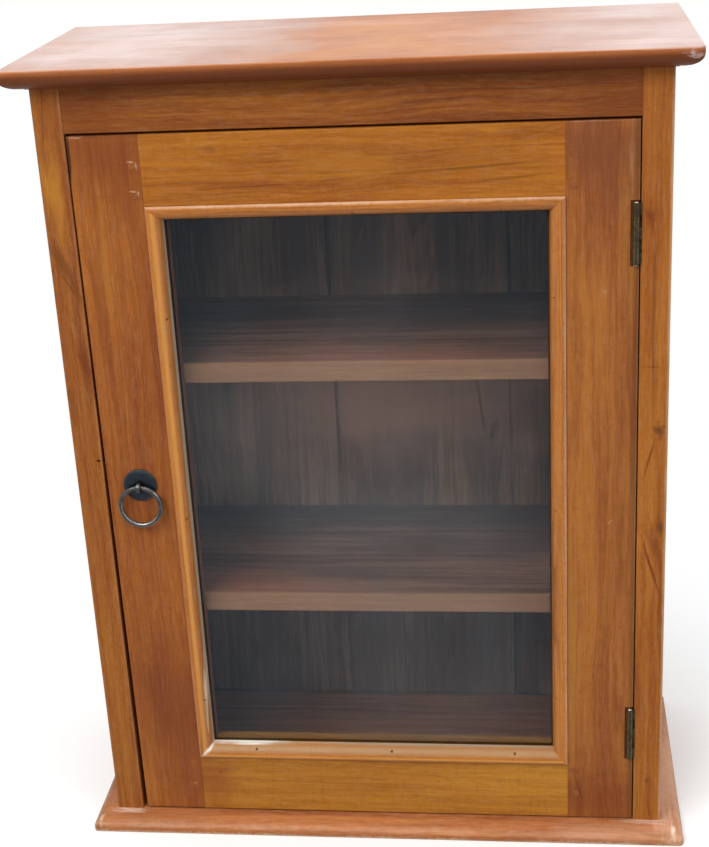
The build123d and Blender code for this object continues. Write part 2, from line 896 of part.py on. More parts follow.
ring_centre = (pull_x, eye_y, pull_z - ring_radius)
with BuildPart() as ring:
    with BuildSketch(Plane(ring_centre, x_dir=(1, 0, 0), z_dir=(0, 0, 1))):
        with Locations((ring_radius, 0)):
            Circle(ring_wire)
    revolve(axis=Axis(ring_centre, (0, 1, 0)))
save(ring, "pull_ring")

stem_at_back = Plane((pull_x, door_back, pull_z), x_dir=(1, 0, 0), z_dir=(0, 1, 0))
with BuildPart() as washer:
    with BuildSketch(stem_at_back):
        Circle(washer_radius)
        Circle(stem_radius + stem_play, mode=Mode.SUBTRACT)
    extrude(amount=washer_thickness)
save(washer, "pull_washer")

nut_corner = nut_across_flats / 3**0.5
with BuildPart() as nut:
    with BuildSketch(stem_at_back.offset(washer_thickness)):
        RegularPolygon(nut_across_flats / 2, 6, major_radius=False)
    extrude(amount=nut_thickness)
    with BuildSketch(Plane(stem_at_back.origin, x_dir=(1, 0, 0), z_dir=(0, 0, 1))):
        with BuildLine():
            nut_end = washer_thickness + nut_thickness
            Polyline(
                (0, washer_thickness),
                (nut_corner, washer_thickness),
                (nut_corner, nut_end - nut_chamfer),
                (nut_corner - nut_chamfer, nut_end),
                (0, nut_end),
                close=True,
            )
        make_face()
    revolve(axis=Axis(stem_at_back.origin, (0, 1, 0)), mode=Mode.INTERSECT)
    bore([stem_at_back.offset(nut_end)], 2 * nut_thickness, stem_radius)
save(nut, "pull_nut")

# --------------------------------------------------------------------- magnetic catch

magnet_x = around(catch_x, magnet_width)
magnet_z = around(sum(catch_z) / 2, magnet_height)
stack_z = around(sum(catch_z) / 2, magnet_height + 2 * pole_thickness)
with BuildPart() as catch:
    block(around(catch_x, catch_width), catch_y, catch_z)
    fillet(catch.edges().filter_by(Axis.Z), radius=catch_round)
    block(
        around(catch_x, catch_width + 2 * catch_flange),
        around(sum(catch_y) / 2, catch_flange),
        (catch_top - catch_flange_thickness, catch_top),
    )
    block(magnet_x, (catch_front, catch_front + magnet_depth), stack_z, mode=Mode.SUBTRACT)
    countersink(catch_screw_heads, small_length, small_shank, small_head)
save(catch, "catch_housing")

with BuildPart() as magnet:
    block(magnet_x, (catch_front, catch_front + magnet_depth), magnet_z)
save(magnet, "catch_magnet")

with BuildPart() as poles:
    for pole_z in zip(stack_z, magnet_z):
        block(magnet_x, (catch_front - pole_proud, catch_front + magnet_depth), pole_z)
save(poles, "catch_pole_plates")

screws("catch_screws", catch_screw_heads, small_length, small_shank, small_head)

with BuildPart() as strike:
    block(around(catch_x, strike_width), strike_y, strike_z)
    fillet(strike.edges().filter_by(Axis.Y), radius=strike_round)
    countersink(strike_screw_heads, small_length, small_shank, small_head)
save(strike, "catch_strike_plate")

screws("catch_strike_screws", strike_screw_heads, small_length, small_shank, small_head)
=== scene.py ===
"""Finishes, studio and camera for a small glazed display cabinet.

The cabinet is oiled hardwood with a framed glass door, two butt hinges and an iron ring
pull. Every board is finished on its own: its growth rings are cut from a log that has its
own pith, taper and ring width, and its knots, worn edges and stains lie where they belong.
Some marks are painted shade, painted highlights and painted reflections.
"""

import logging
import math
from dataclasses import dataclass, replace
from enum import Enum
from functools import partial
from typing import ClassVar

import bpy
from mathutils import Euler, Matrix, Vector


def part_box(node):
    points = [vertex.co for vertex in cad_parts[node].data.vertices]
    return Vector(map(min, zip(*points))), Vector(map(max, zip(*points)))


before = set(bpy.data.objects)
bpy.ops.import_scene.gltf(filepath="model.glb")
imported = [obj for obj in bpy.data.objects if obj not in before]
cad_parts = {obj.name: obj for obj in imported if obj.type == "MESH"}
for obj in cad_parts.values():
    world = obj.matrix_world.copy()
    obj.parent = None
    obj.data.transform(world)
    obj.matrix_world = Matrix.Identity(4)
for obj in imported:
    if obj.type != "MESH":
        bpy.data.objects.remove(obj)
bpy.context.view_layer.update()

log = logging.getLogger("cabinet")

Colour = tuple[float, float, float]
Point = tuple[float, float, float]
Socket = bpy.types.NodeSocket
Sockets = dict[str, Socket]
Value = Socket | float | tuple | None

FRAME_WIDTH = 709
FRAME_HEIGHT = 847
ORIGIN = (0.0, 0.0, 0.0)
WHITE = (1.0, 1.0, 1.0)

# a reach or a corner so far off that it sets no limit
FAR = 9.0
# depths at which marks are centred: on the front faces of side boards and door, on that of
# the frieze rail, 1.6 mm inside the glazing beads, and 3 mm before the back planks
FACE = -0.098
FRIEZE_FACE = -0.097
BEAD_FACE = -0.099
BACK = 0.105
# the height at which sheen and polish on the top board are centred, 1 mm above it
UPPER = 0.706


def paint(red: int, green: int, blue: int) -> Colour:
    """Turn a colour as a screen shows it into the linear one that shaders take.

    Args:
        red: red, 0 to 255.
        green: green, 0 to 255.
        blue: blue, 0 to 255.

    Returns:
        The linear colour.
    """

    def linear(level: int) -> float:
        """Undo the screen's curve for one channel."""
        part = level / 255.0
        return part / 12.92 if part <= 0.04045 else ((part + 0.055) / 1.055) ** 2.4

    return linear(red), linear(green), linear(blue)


# Node trees


class Graph:
    """Adds nodes to one shader tree and joins them."""

    def __init__(self, tree: bpy.types.NodeTree) -> None:
        """Keep the tree that the nodes go into."""
        self.tree = tree

    @classmethod
    def of(cls, owner: bpy.types.Material | bpy.types.World) -> "Graph":
        """Empty the tree of a material or a world for new nodes.

        Args:
            owner: the material or the world.

        Returns:
            The graph of its tree.
        """
        owner.use_nodes = True
        owner.node_tree.nodes.clear()
        return cls(owner.node_tree)

    def feed(self, socket: Socket, value: Value) -> None:
        """Join a socket to another one, or give it a plain value.

        Args:
            socket: the input socket.
            value: another node's output, a plain value, or None to leave it alone.
        """
        if value is None:
            return
        if isinstance(value, Socket):
            self.tree.links.new(value, socket)
        elif socket.type == "RGBA" and len(value) == 3:
            socket.default_value = (*value, 1.0)
        else:
            socket.default_value = value

    def node(
        self, kind: str, inputs: dict[str | int, Value] | None = None, **settings: object
    ) -> bpy.types.Node:
        """Add one node.

        Args:
            kind: the node's type without its ShaderNode prefix.
            inputs: values or sockets for the node's inputs, by name or number.
            settings: the node's own properties.

        Returns:
            The new node.
        """
        made = self.tree.nodes.new("ShaderNode" + kind)
        for name, setting in settings.items():
            setattr(made, name, setting)
        for key, value in (inputs or {}).items():
            self.feed(made.inputs[key], value)
        return made

    def math(
        self, operation: str, a: Value, b: Value = None, c: Value = None, clamp: bool = False
    ) -> Socket:
        """Add a Math node, whose result can be kept from 0 to 1, and return its result."""
        made = self.node("Math", {0: a, 1: b, 2: c}, operation=operation, use_clamp=clamp)
        return made.outputs[0]

    def times(self, a: Value, b: Value, plus: Value = None, clamp: bool = False) -> Socket:
        """Multiply two values, and add a third one where it is given."""
        operation = "MULTIPLY" if plus is None else "MULTIPLY_ADD"
        return self.math(operation, a, b, plus, clamp)

    def vector(self, operation: str, a: Value, b: Value = None) -> Socket:
        """Add a Vector Math node and return its vector result."""
        return self.node("VectorMath", {0: a, 1: b}, operation=operation).outputs[0]

    def length(self, a: Value) -> Socket:
        """Return the length of a vector."""
        return self.node("VectorMath", {0: a}, operation="LENGTH").outputs["Value"]

    def combine(self, x: Value, y: Value, z: Value) -> Socket:
        """Join three values into a vector."""
        return self.node("CombineXYZ", {0: x, 1: y, 2: z}).outputs[0]

    def separate(self, vector: Value) -> tuple[Socket, ...]:
        """Split a vector into its three values."""
        return tuple(self.node("SeparateXYZ", {0: vector}).outputs)

    def swing(self, vector: Value, centre: Value, angle: Value) -> Socket:
        """Turn a vector about an axis that runs from front to back."""
        inputs = {"Vector": vector, "Center": centre, "Angle": angle}
        return self.node("VectorRotate", inputs, rotation_type="Y_AXIS").outputs[0]

    def remap(
        self,
        value: Value,
        low: Value,
        high: float,
        to_low: Value = 0.0,
        to_high: Value = 1.0,
        smooth: bool = True,
    ) -> Socket:
        """Bring a range of values to another range and clamp it there.

        Args:
            value: the value.
            low: the value that becomes to_low.
            high: the value that becomes to_high.
            to_low: start of the new range.
            to_high: end of the new range.
            smooth: ease in and out instead of a straight ramp.

        Returns:
            The result socket.
        """
        return self.node(
            "MapRange",
            {"Value": value, "From Min": low, "From Max": high,
             "To Min": to_low, "To Max": to_high},
            interpolation_type="SMOOTHSTEP" if smooth else "LINEAR",
        ).outputs[0]

    def blend(self, factor: Value, a: Value, b: Value) -> Socket:
        """Mix two colours."""
        return self.node("Mix", {0: factor, 6: a, 7: b}, data_type="RGBA").outputs[2]

    def between(self, factor: Value, a: Value, b: Value) -> Socket:
        """Mix two plain values."""
        return self.node("Mix", {0: factor, 2: a, 3: b}, data_type="FLOAT").outputs[0]

    def noise(
        self, vector: Value, scale: tuple[float, float] | None, detail: float = 2.0,
        rough: float = 0.5, bend: float = 0.0, result: str = "Fac",
    ) -> Socket:
        """Add 3-D noise with one scale along X, which is the grain, and one across it.

        Args:
            vector: the place.
            scale: waves in a metre along and across, or None for a place scaled before.
            detail: number of finer layers.
            rough: weight of the finer layers.
            bend: distortion of the noise.
            result: Fac for a value, Color for three of them.

        Returns:
            The result socket.
        """
        if scale:
            vector = self.vector("MULTIPLY", vector, (scale[0], scale[1], scale[1]))
        return self.node(
            "TexNoise",
            {"Vector": vector, "Scale": 1.0, "Detail": detail, "Roughness": rough,
             "Distortion": bend},
        ).outputs[result]


def plugs(kind: str, *names: str) -> dict[str, str]:
    """Give several sockets of a node group the same kind."""
    return dict.fromkeys(names, kind)


class Effect:
    """A shader node group that is built once and placed in each material that needs it.

    Its inputs and outputs are names with the kind of each socket.
    """

    name: str
    inputs: dict[str, str]
    outputs: dict[str, str] = plugs("Float", "Mask")

    def wire(self, graph: Graph, given: Sockets) -> Sockets:
        """Build the inside of the group from its inputs, and return its outputs."""
        raise NotImplementedError

    def tree(self) -> bpy.types.ShaderNodeTree:
        """Return the group's tree, and build it the first time.

        Returns:
            The node tree.
        """
        found = bpy.data.node_groups.get(self.name)
        if found is not None:
            return found
        tree = bpy.data.node_groups.new(self.name, "ShaderNodeTree")
        for way, sockets in (("INPUT", self.inputs), ("OUTPUT", self.outputs)):
            for name, kind in sockets.items():
                tree.interface.new_socket(name, in_out=way, socket_type="NodeSocket" + kind)
        entry = tree.nodes.new("NodeGroupInput")
        leave = tree.nodes.new("NodeGroupOutput")
        given = {name: entry.outputs[name] for name in self.inputs}
        for name, socket in self.wire(Graph(tree), given).items():
            tree.links.new(socket, leave.inputs[name])
        return tree

    def place(self, graph: Graph, values: dict[str, Value]) -> Sockets:
        """Put the group into a material.

        Args:
            graph: the material's tree.
            values: values or sockets for the group's inputs by name.

        Returns:
            The group's outputs by name.
        """
        made = graph.tree.nodes.new("ShaderNodeGroup")
        made.node_tree = self.tree()
        for name, value in values.items():
            graph.feed(made.inputs[name], value)
        return {socket.name: socket for socket in made.outputs}


class BoardFigure(Effect):
    """The figure of a board: growth rings, fibre, dark streaks, pores and slow clouds.

    Its Vector is the place in the log: X runs along the pith, and Y and Z are the
    distances from it.
    """

    name = "board_figure"
    inputs = {
        **plugs("Vector", "Vector"),
        **plugs("Float", "Ring Width", "Taper", "Wander", "Lift", "Seed"),
        **plugs("Color", "Pale", "Deep", "Streak"),
        **plugs("Float", "Ring Strength", "Fibre Strength", "Streak Strength"),
        **plugs("Float", "Cloud Strength", "Mottle Strength"),
        **plugs("Color", "Haze"),
        **plugs("Float", "Haze Strength", "Ripple Strength"),
    }
    outputs = {**plugs("Color", "Color"), **plugs("Float", "Height", "Dullness")}
    # how the seed moves the noise along each axis
    seed_steps = (1.37, 0.71, 2.13)
    # how quickly the width of the rings varies, and how much
    year_wave, year_sway = 0.37, 2.2
    # the part of a ring that is late wood: where it darkens, where it ends, how suddenly
    late_rise, late_end, late_power = (0.30, 0.92), (0.93, 1.0), 2.5
    # shares of fine fibre, coarse fibre and ticks, and of the streak colour in the pores
    fine_share, coarse_share, tick_share, pore_share = 0.20, 0.38, 0.42, 0.34

    def wire(self, graph: Graph, given: Sockets) -> Sockets:
        """Build the inside of the group.

        Args:
            graph: its tree.
            given: its inputs by name.

        Returns:
            Its outputs by name.
        """
        seed = given["Seed"]
        shift = graph.combine(*(graph.times(seed, step) for step in self.seed_steps))
        place = graph.vector("ADD", given["Vector"], shift)

        # rings: distance from a pith that tapers away and wanders
        drift = graph.noise(place, (5.1, 22.0), 3.0, 0.55, result="Color")
        drift = graph.vector("SUBTRACT", drift, (0.5, 0.5, 0.5))
        wide = graph.times(given["Wander"], 4.0)
        drift = graph.vector("MULTIPLY", drift, graph.combine(0.0, wide, wide))
        place = graph.vector("ADD", place, drift)
        x, y, z = graph.separate(graph.vector("ADD", given["Vector"], drift))
        y = graph.times(x, given["Taper"], y)
        radius = graph.length(graph.combine(0.0, y, z))
        radius = graph.math("ADD", radius, given["Lift"])
        count = graph.math("DIVIDE", radius, given["Ring Width"])
        years = graph.node(
            "TexNoise",
            {"W": graph.times(count, self.year_wave, seed), "Scale": 1.0, "Detail": 1.0},
            noise_dimensions="1D",
        ).outputs[0]
        count = graph.times(years, self.year_sway, count)
        phase = graph.math("FRACT", count)
        rise = graph.remap(phase, *self.late_rise)
        fall = graph.remap(phase, *self.late_end, 1.0, 0.0)
        rings = graph.times(graph.math("POWER", rise, self.late_power), fall)
        year = graph.node(
            "TexWhiteNoise", {"W": graph.math("ADD", graph.math("FLOOR", count), seed)},
            noise_dimensions="1D",
        ).outputs[0]
        rings = graph.times(rings, graph.remap(year, 0.1, 1.0, 0.10, 1.0))
        ebb = graph.noise(place, (5.0, 55.0))
        rings = graph.times(rings, graph.remap(ebb, 0.42, 0.66, 0.06, 1.0))

        # fibre, pores, streaks and clouds, all drawn out along the grain
        fine = graph.noise(place, (17.0, 1300.0), 2.0, 0.6)
        ticks = graph.noise(place, (95.0, 1000.0), 2.0, 0.6)
        coarse = graph.noise(place, (3.4, 380.0), 2.0, 0.55, 0.2)
        fibre = graph.math("ADD", graph.times(fine, self.fine_share),
                           graph.times(coarse, self.coarse_share))
        fibre = graph.times(ticks, self.tick_share, fibre)
        pores = graph.remap(graph.noise(place, (120.0, 3600.0), 1.0), 0.62, 0.72)
        streaks = graph.remap(graph.noise(place, (2.2, 80.0), 3.0, 0.5, 0.4), 0.54, 0.72)
        clouds = graph.remap(graph.noise(place, (3.7, 17.0), 3.0), 0.30, 0.70)
        mottle = graph.remap(graph.noise(place, (4.0, 170.0), 3.0, 0.5, 0.3), 0.34, 0.66)
        haze = graph.remap(graph.noise(place, (55.0, 620.0), 3.0, 0.6), 0.42, 0.70)
        ripple = graph.remap(graph.noise(place, (380.0, 95.0), 1.0), 0.50, 0.78)

        # the ground goes from pale to deep wood, and rings and streaks darken it
        tone = graph.remap(fibre, 0.36, 0.64, smooth=False)
        tone = graph.times(tone, given["Fibre Strength"])
        tone = graph.times(clouds, given["Cloud Strength"], tone)
        tone = graph.times(mottle, given["Mottle Strength"], tone)
        colour = graph.blend(graph.math("MINIMUM", tone, 1.0), given["Pale"], given["Deep"])
        dark = graph.times(rings, given["Ring Strength"])
        dark = graph.math("MAXIMUM", dark, graph.times(streaks, given["Streak Strength"]))
        colour = graph.blend(graph.math("MINIMUM", dark, 1.0), colour, given["Streak"])
        for layer, strength, tint in (
            (pores, self.pore_share, "Streak"),
            (ripple, given["Ripple Strength"], "Streak"),
            (haze, given["Haze Strength"], "Haze"),
        ):
            colour = graph.blend(graph.times(layer, strength), colour, given[tint])

        height = graph.times(fibre, 0.6, graph.times(rings, 0.35))
        height = graph.math("SUBTRACT", height, graph.times(pores, 0.6))
        dull = graph.math("ADD", graph.times(pores, 0.5), graph.times(fibre, 0.5), clamp=True)
        return {"Color": colour, "Height": height, "Dullness": dull}


class NearEdge(Effect):
    """A band along the edges of a box-shaped piece, ragged like wear or old polish, also used
    for painted shade and highlight.
    """

    name = "near_edge"
    inputs = {
        **plugs("Vector", "Vector", "Low Corner", "High Corner"),
        **plugs("Float", "Width", "Ragged", "Patches", "Seed"),
    }
    # waves in a metre of the ragged line and of the worn patches, and depth of the former
    fine_waves, slow_waves, ragged_depth = 260.0, 22.0, 4.0

    def wire(self, graph: Graph, given: Sockets) -> Sockets:
        """Build the inside of the group.

        Args:
            graph: its tree.
            given: its inputs by name.

        Returns:
            Its outputs by name.
        """
        place = given["Vector"]
        inside = graph.vector(
            "MINIMUM",
            graph.vector("SUBTRACT", place, given["Low Corner"]),
            graph.vector("SUBTRACT", given["High Corner"], place),
        )
        x, y, z = graph.separate(inside)
        # on the surface the least distance is nothing, so the next one is to an edge
        edge = graph.math(
            "MAXIMUM",
            graph.math("MINIMUM", x, y),
            graph.math("MINIMUM", graph.math("MAXIMUM", x, y), z),
        )
        moved = graph.vector("ADD", place, graph.combine(given["Seed"], 0.0, 0.0))
        fine = graph.noise(moved, (self.fine_waves, self.fine_waves), 3.0, 0.6)
        slow = graph.noise(moved, (self.slow_waves, self.slow_waves))
        wave = graph.math("SUBTRACT", fine, 0.5)
        wave = graph.times(wave, graph.times(given["Ragged"], self.ragged_depth))
        reach = graph.times(given["Width"], graph.math("ADD", 1.0, wave))
        band = graph.math("SUBTRACT", 1.0, graph.math("DIVIDE", edge, reach), clamp=True)
        worn = graph.remap(slow, 0.35, 0.60)
        return {"Mask": graph.times(band, graph.between(given["Patches"], 1.0, worn))}


class LocalMark(Effect):
    """A soft, ragged spot at one place: a knot, a stain, a scratch, a trace of wax, or painted
    shade or highlight.
    """

    name = "local_mark"
    inputs = {
        **plugs("Vector", "Vector", "Centre", "Reach"),
        **plugs("Float", "Turn", "Ragged", "Softness"),
    }
    # waves of the ragged outline in one reach, and their depth
    waves, ragged_depth = 1.6, 2.4

    def wire(self, graph: Graph, given: Sockets) -> Sockets:
        """Build the inside of the group.

        Args:
            graph: its tree.
            given: its inputs by name.

        Returns:
            Its outputs by name.
        """
        turned = graph.swing(given["Vector"], given["Centre"], given["Turn"])
        away = graph.vector("SUBTRACT", turned, given["Centre"])
        away = graph.vector("DIVIDE", away, given["Reach"])
        wobble = graph.noise(away, (self.waves, self.waves), 4.0, 0.6)
        wobble = graph.math("SUBTRACT", wobble, 0.5)
        ragged = graph.times(given["Ragged"], self.ragged_depth)
        far = graph.times(wobble, ragged, graph.length(away))
        start = graph.math("SUBTRACT", 1.0, given["Softness"])
        return {"Mask": graph.remap(far, start, 1.0, 1.0, 0.0)}


class Handling(Effect):
    """What years of use leave on a surface: cloudy dullness, specks and fine scratches."""

    name = "handling"
    inputs = {**plugs("Vector", "Vector"), **plugs("Float", "Size", "Speck Share", "Seed")}
    outputs = plugs("Float", "Clouds", "Specks", "Scratches", "Height")
    # two sets of scratches: their lean, and how many lie side by side
    scratch_sets = ((0.5, 31.0), (-1.1, 27.0))
    # specks in one cloud, and how high the grit stands above which they show
    speck_waves, speck_level, speck_span = 9.0, 0.80, 0.3

    def wire(self, graph: Graph, given: Sockets) -> Sockets:
        """Build the inside of the group.

        Args:
            graph: its tree.
            given: its inputs by name.

        Returns:
            Its outputs by name.
        """
        scale = graph.math("DIVIDE", 1.0, given["Size"])
        place = graph.node(
            "VectorMath", {0: given["Vector"], "Scale": scale}, operation="SCALE").outputs[0]
        place = graph.vector("ADD", place, graph.combine(given["Seed"], given["Seed"], 0.0))
        clouds = graph.remap(graph.noise(place, None, 4.0, 0.55), 0.3, 0.7)
        grit = graph.noise(place, (self.speck_waves, self.speck_waves))
        level = graph.times(given["Speck Share"], self.speck_span)
        level = graph.math("SUBTRACT", self.speck_level, level)
        specks = graph.math("GREATER_THAN", grit, level)
        specks = graph.times(specks, graph.remap(grit, 0.5, 0.8))
        lines = []
        for lean, close in self.scratch_sets:
            hair = graph.noise(graph.swing(place, ORIGIN, lean), (0.6, close), 1.0, 0.5, 0.3)
            lines.append(graph.remap(hair, 0.68, 0.74))
        scratches = graph.math("MAXIMUM", *lines)
        height = graph.math("SUBTRACT", grit, graph.times(scratches, 0.5))
        return {"Clouds": clouds, "Specks": specks, "Scratches": scratches, "Height": height}


class RoundOver(Effect):
    """Where a surface turns between two flat sides: worn arrises and the crest of a bead."""

    name = "round_over"
    inputs = {**plugs("Vector", "Vector"), **plugs("Float", "Patches", "Seed")}
    # how far a surface has turned where wear starts and where it is full
    turn_range = (0.03, 0.22)
    # waves in a metre of the worn patches
    patch_waves = 40.0

    def wire(self, graph: Graph, given: Sockets) -> Sockets:
        """Build the inside of the group.

        Args:
            graph: its tree.
            given: its inputs by name.

        Returns:
            Its outputs by name.
        """
        normal = graph.node(
            "VectorTransform", {0: graph.node("NewGeometry").outputs["Normal"]},
            vector_type="NORMAL", convert_from="WORLD", convert_to="OBJECT",
        ).outputs[0]
        x, y, z = graph.separate(graph.vector("ABSOLUTE", normal))
        main = graph.math("MAXIMUM", graph.math("MAXIMUM", x, y), z)
        turn = graph.remap(graph.math("SUBTRACT", 1.0, main), *self.turn_range)
        moved = graph.vector("ADD", given["Vector"], graph.combine(given["Seed"], 0.0, 0.0))
        slow = graph.noise(moved, (self.patch_waves, self.patch_waves), 4.0, 0.65)
        worn = graph.remap(slow, 0.42, 0.60)
        return {"Mask": graph.times(turn, graph.between(given["Patches"], 1.0, worn))}


FIGURE = BoardFigure()
EDGE = NearEdge()
MARK = LocalMark()
HANDLING = Handling()
ROUND = RoundOver()


# Finishes


class Grain(Enum):
    """The way the grain of a board runs, with the turn that brings it to the log's X."""

    SIDEWAYS = (0.0, 0.0, 0.0)
    UPRIGHT = (0.0, math.pi / 2, 0.0)
    FRONT_TO_BACK = (0.0, 0.0, -math.pi / 2)


class Stain(Enum):
    """What a local mark on a board is."""

    DARK = "dark"
    PALE = "pale"
    GOLD = "gold"
    POLISH = "polish"


@dataclass(frozen=True)
class Mark:
    """One mark on a board: what it is, where it lies and how far it reaches, in metres.

    Turn is its lean to the left in radians, swirl is how many growth rings it pushes aside,
    as a knot does, and tint is its colour where it isn't the board's own stain, wax or pale
    wood.
    """

    stain: Stain
    centre: Point
    reach: Point
    strength: float
    turn: float = 0.0
    ragged: float = 0.5
    softness: float = 0.9
    swirl: float = 0.0
    tint: Colour | None = None

    def mask(self, graph: Graph, place: Socket) -> Socket:
        """Return the mark's mask."""
        return MARK.place(graph, {
            "Vector": place, "Centre": self.centre, "Reach": self.reach,
            "Turn": self.turn, "Ragged": self.ragged, "Softness": self.softness,
        })["Mask"]


Marks = tuple[Mark, ...]


def front(
    stain: Stain, x: float, z: float, wide: float, high: float, strength: float,
    turn: float = 0.0, deep: float = 0.02, face: float = FACE, **look: object,
) -> Mark:
    """Make a mark on a front face from its middle, half its width and half its height."""
    return Mark(stain, (x, face, z), (wide, deep, high), strength, turn, **look)


# makers of the marks that lie on front faces
dark, pale, gold = (partial(front, stain) for stain in (Stain.DARK, Stain.PALE, Stain.GOLD))


@dataclass(frozen=True)
class Edge:
    """Wear, grime, painted shade or painted highlight along a board's edges between two
    corners, in metres.
    """

    colour: Colour
    width: float
    strength: float
    low: Point
    high: Point
    ragged: float = 0.6
    patches: float = 0.6


class Finish:
    """A finish: it makes its material once and gives it to any number of pieces."""

    name: str
    seed: float
    use_size: float
    specks: float
    relief: float
    relief_strength: float

    def wire(self, graph: Graph, place: Socket) -> Socket:
        """Build the shader and return it."""
        raise NotImplementedError

    def material(self) -> bpy.types.Material:
        """Return the material, and build it the first time.

        Returns:
            The material.
        """
        found = bpy.data.materials.get("finish_" + self.name)
        if found is not None:
            return found
        made = bpy.data.materials.new("finish_" + self.name)
        graph = Graph.of(made)
        place = graph.node("TexCoord").outputs["Object"]
        out = graph.node("OutputMaterial")
        graph.feed(out.inputs["Surface"], self.wire(graph, place))
        return made

    def use(self, graph: Graph, place: Socket) -> Sockets:
        """Place the traces of use: their clouds have use_size, in metres."""
        return HANDLING.place(graph, {
            "Vector": place, "Size": self.use_size, "Speck Share": self.specks,
            "Seed": self.seed,
        })

    def surface(
        self, graph: Graph, colour: Value, rough: Value, height: Value,
        more: dict[str, Value] | None = None,
    ) -> Socket:
        """Return the shader of an opaque surface with a fine relief.

        Args:
            graph: the material's tree.
            colour: base colour.
            rough: roughness.
            height: height of the relief.
            more: other inputs of the shader by name.

        Returns:
            The shader socket.
        """
        bump = graph.node("Bump", {
            "Height": height, "Strength": self.relief_strength, "Distance": self.relief})
        return graph.node("BsdfPrincipled", {
            "Base Color": colour, "Roughness": rough, "Normal": bump.outputs[0],
            **(more or {}),
        }).outputs[0]


@dataclass(frozen=True)
class BoardFinish(Finish):
    """Oiled hardwood on one board, cut from its own place in its own log.

    The pith is given in the cabinet's frame, in metres. Far to one side of the board it
    gives straight grain, and close behind the face it gives arches.
    """

    name: str
    grain: Grain = Grain.UPRIGHT
    pith: Point = (0.0, 0.2, 0.0)
    ring_width: float = 0.0045
    taper: float = 0.02
    wander: float = 0.004
    seed: float = 1.0
    pale: Colour = paint(184, 118, 34)
    deep: Colour = paint(138, 68, 20)
    streak: Colour = paint(88, 44, 16)
    stain: Colour = paint(76, 38, 16)
    wax: Colour = paint(214, 176, 144)
    rings: float = 0.50
    fibre: float = 0.44
    streaks: float = 0.32
    clouds: float = 0.34
    mottle: float = 0.34
    haze: float = 0.07
    ripple: float = 0.12
    rough: float = 0.50
    mirror: float = 0.14
    gloss: float = 0.05
    gloss_rough: float = 0.28
    # old polish is thinner on dull wood: from and to dullness, full and thin polish
    polish_fade: tuple[float, float, float, float] = (0.16, 0.44, 1.0, 0.7)
    relief: float = 0.00010
    relief_strength: float = 0.6
    use_size: float = 0.045
    specks: float = 0.1
    pore_dull: float = 0.16
    use_dull: float = 0.10
    crest: float = 0.0
    crest_patches: float = 0.6
    marks: Marks = ()
    edges: tuple[Edge, ...] = ()

    def log_place(self, graph: Graph, place: Socket) -> Socket:
        """Bring a place on the board into the log, with the pith along X.

        Args:
            graph: the material's tree.
            place: place on the piece, in metres.

        Returns:
            The place in the log.
        """
        turn = Euler(self.grain.value)
        shift = -(turn.to_matrix() @ Vector(self.pith))
        return graph.node(
            "Mapping", {"Vector": place, "Location": tuple(shift), "Rotation": tuple(turn)}
        ).outputs[0]

    def wire(self, graph: Graph, place: Socket) -> Socket:
        """Build the shader.

        Args:
            graph: the material's tree.
            place: place on the piece, in metres.

        Returns:
            The shader.
        """
        masks = [(mark, mark.mask(graph, place)) for mark in self.marks]
        lift: Value = 0.0
        for mark, mask in masks:
            if mark.swirl:
                lift = graph.times(mask, mark.swirl * self.ring_width, lift)
        figure = FIGURE.place(graph, {
            "Vector": self.log_place(graph, place), "Ring Width": self.ring_width,
            "Taper": self.taper, "Wander": self.wander, "Lift": lift, "Seed": self.seed,
            "Pale": self.pale, "Deep": self.deep, "Streak": self.streak,
            "Ring Strength": self.rings, "Fibre Strength": self.fibre,
            "Streak Strength": self.streaks, "Cloud Strength": self.clouds,
            "Mottle Strength": self.mottle, "Haze": self.wax, "Haze Strength": self.haze,
            "Ripple Strength": self.ripple,
        })
        colour = figure["Color"]
        tints = {Stain.DARK: self.stain, Stain.PALE: self.wax, Stain.GOLD: self.pale}
        gloss: Value = self.gloss
        for mark, mask in masks:
            mask = graph.times(mask, mark.strength)
            if mark.stain is Stain.POLISH:
                streaky = graph.remap(figure["Dullness"], *self.polish_fade)
                gloss = graph.math("MAXIMUM", graph.times(mask, streaky), gloss)
            else:
                colour = graph.blend(mask, colour, mark.tint or tints[mark.stain])
        use = self.use(graph, place)
        for edge in self.edges:
            mask = EDGE.place(graph, {
                "Vector": place, "Low Corner": edge.low, "High Corner": edge.high,
                "Width": edge.width, "Ragged": edge.ragged, "Patches": edge.patches,
                "Seed": self.seed,
            })["Mask"]
            colour = graph.blend(graph.times(mask, edge.strength), colour, edge.colour)
        if self.crest:
            mask = ROUND.place(
                graph, {"Vector": place, "Patches": self.crest_patches, "Seed": self.seed}
            )["Mask"]
            colour = graph.blend(graph.times(mask, self.crest), colour, self.wax)
        rough = graph.times(figure["Dullness"], self.pore_dull, self.rough)
        rough = graph.times(use["Clouds"], self.use_dull, rough)
        return self.surface(graph, colour, rough, figure["Height"], {
            "Specular IOR Level": self.mirror, "Coat Weight": gloss,
            "Coat Roughness": self.gloss_rough,
        })


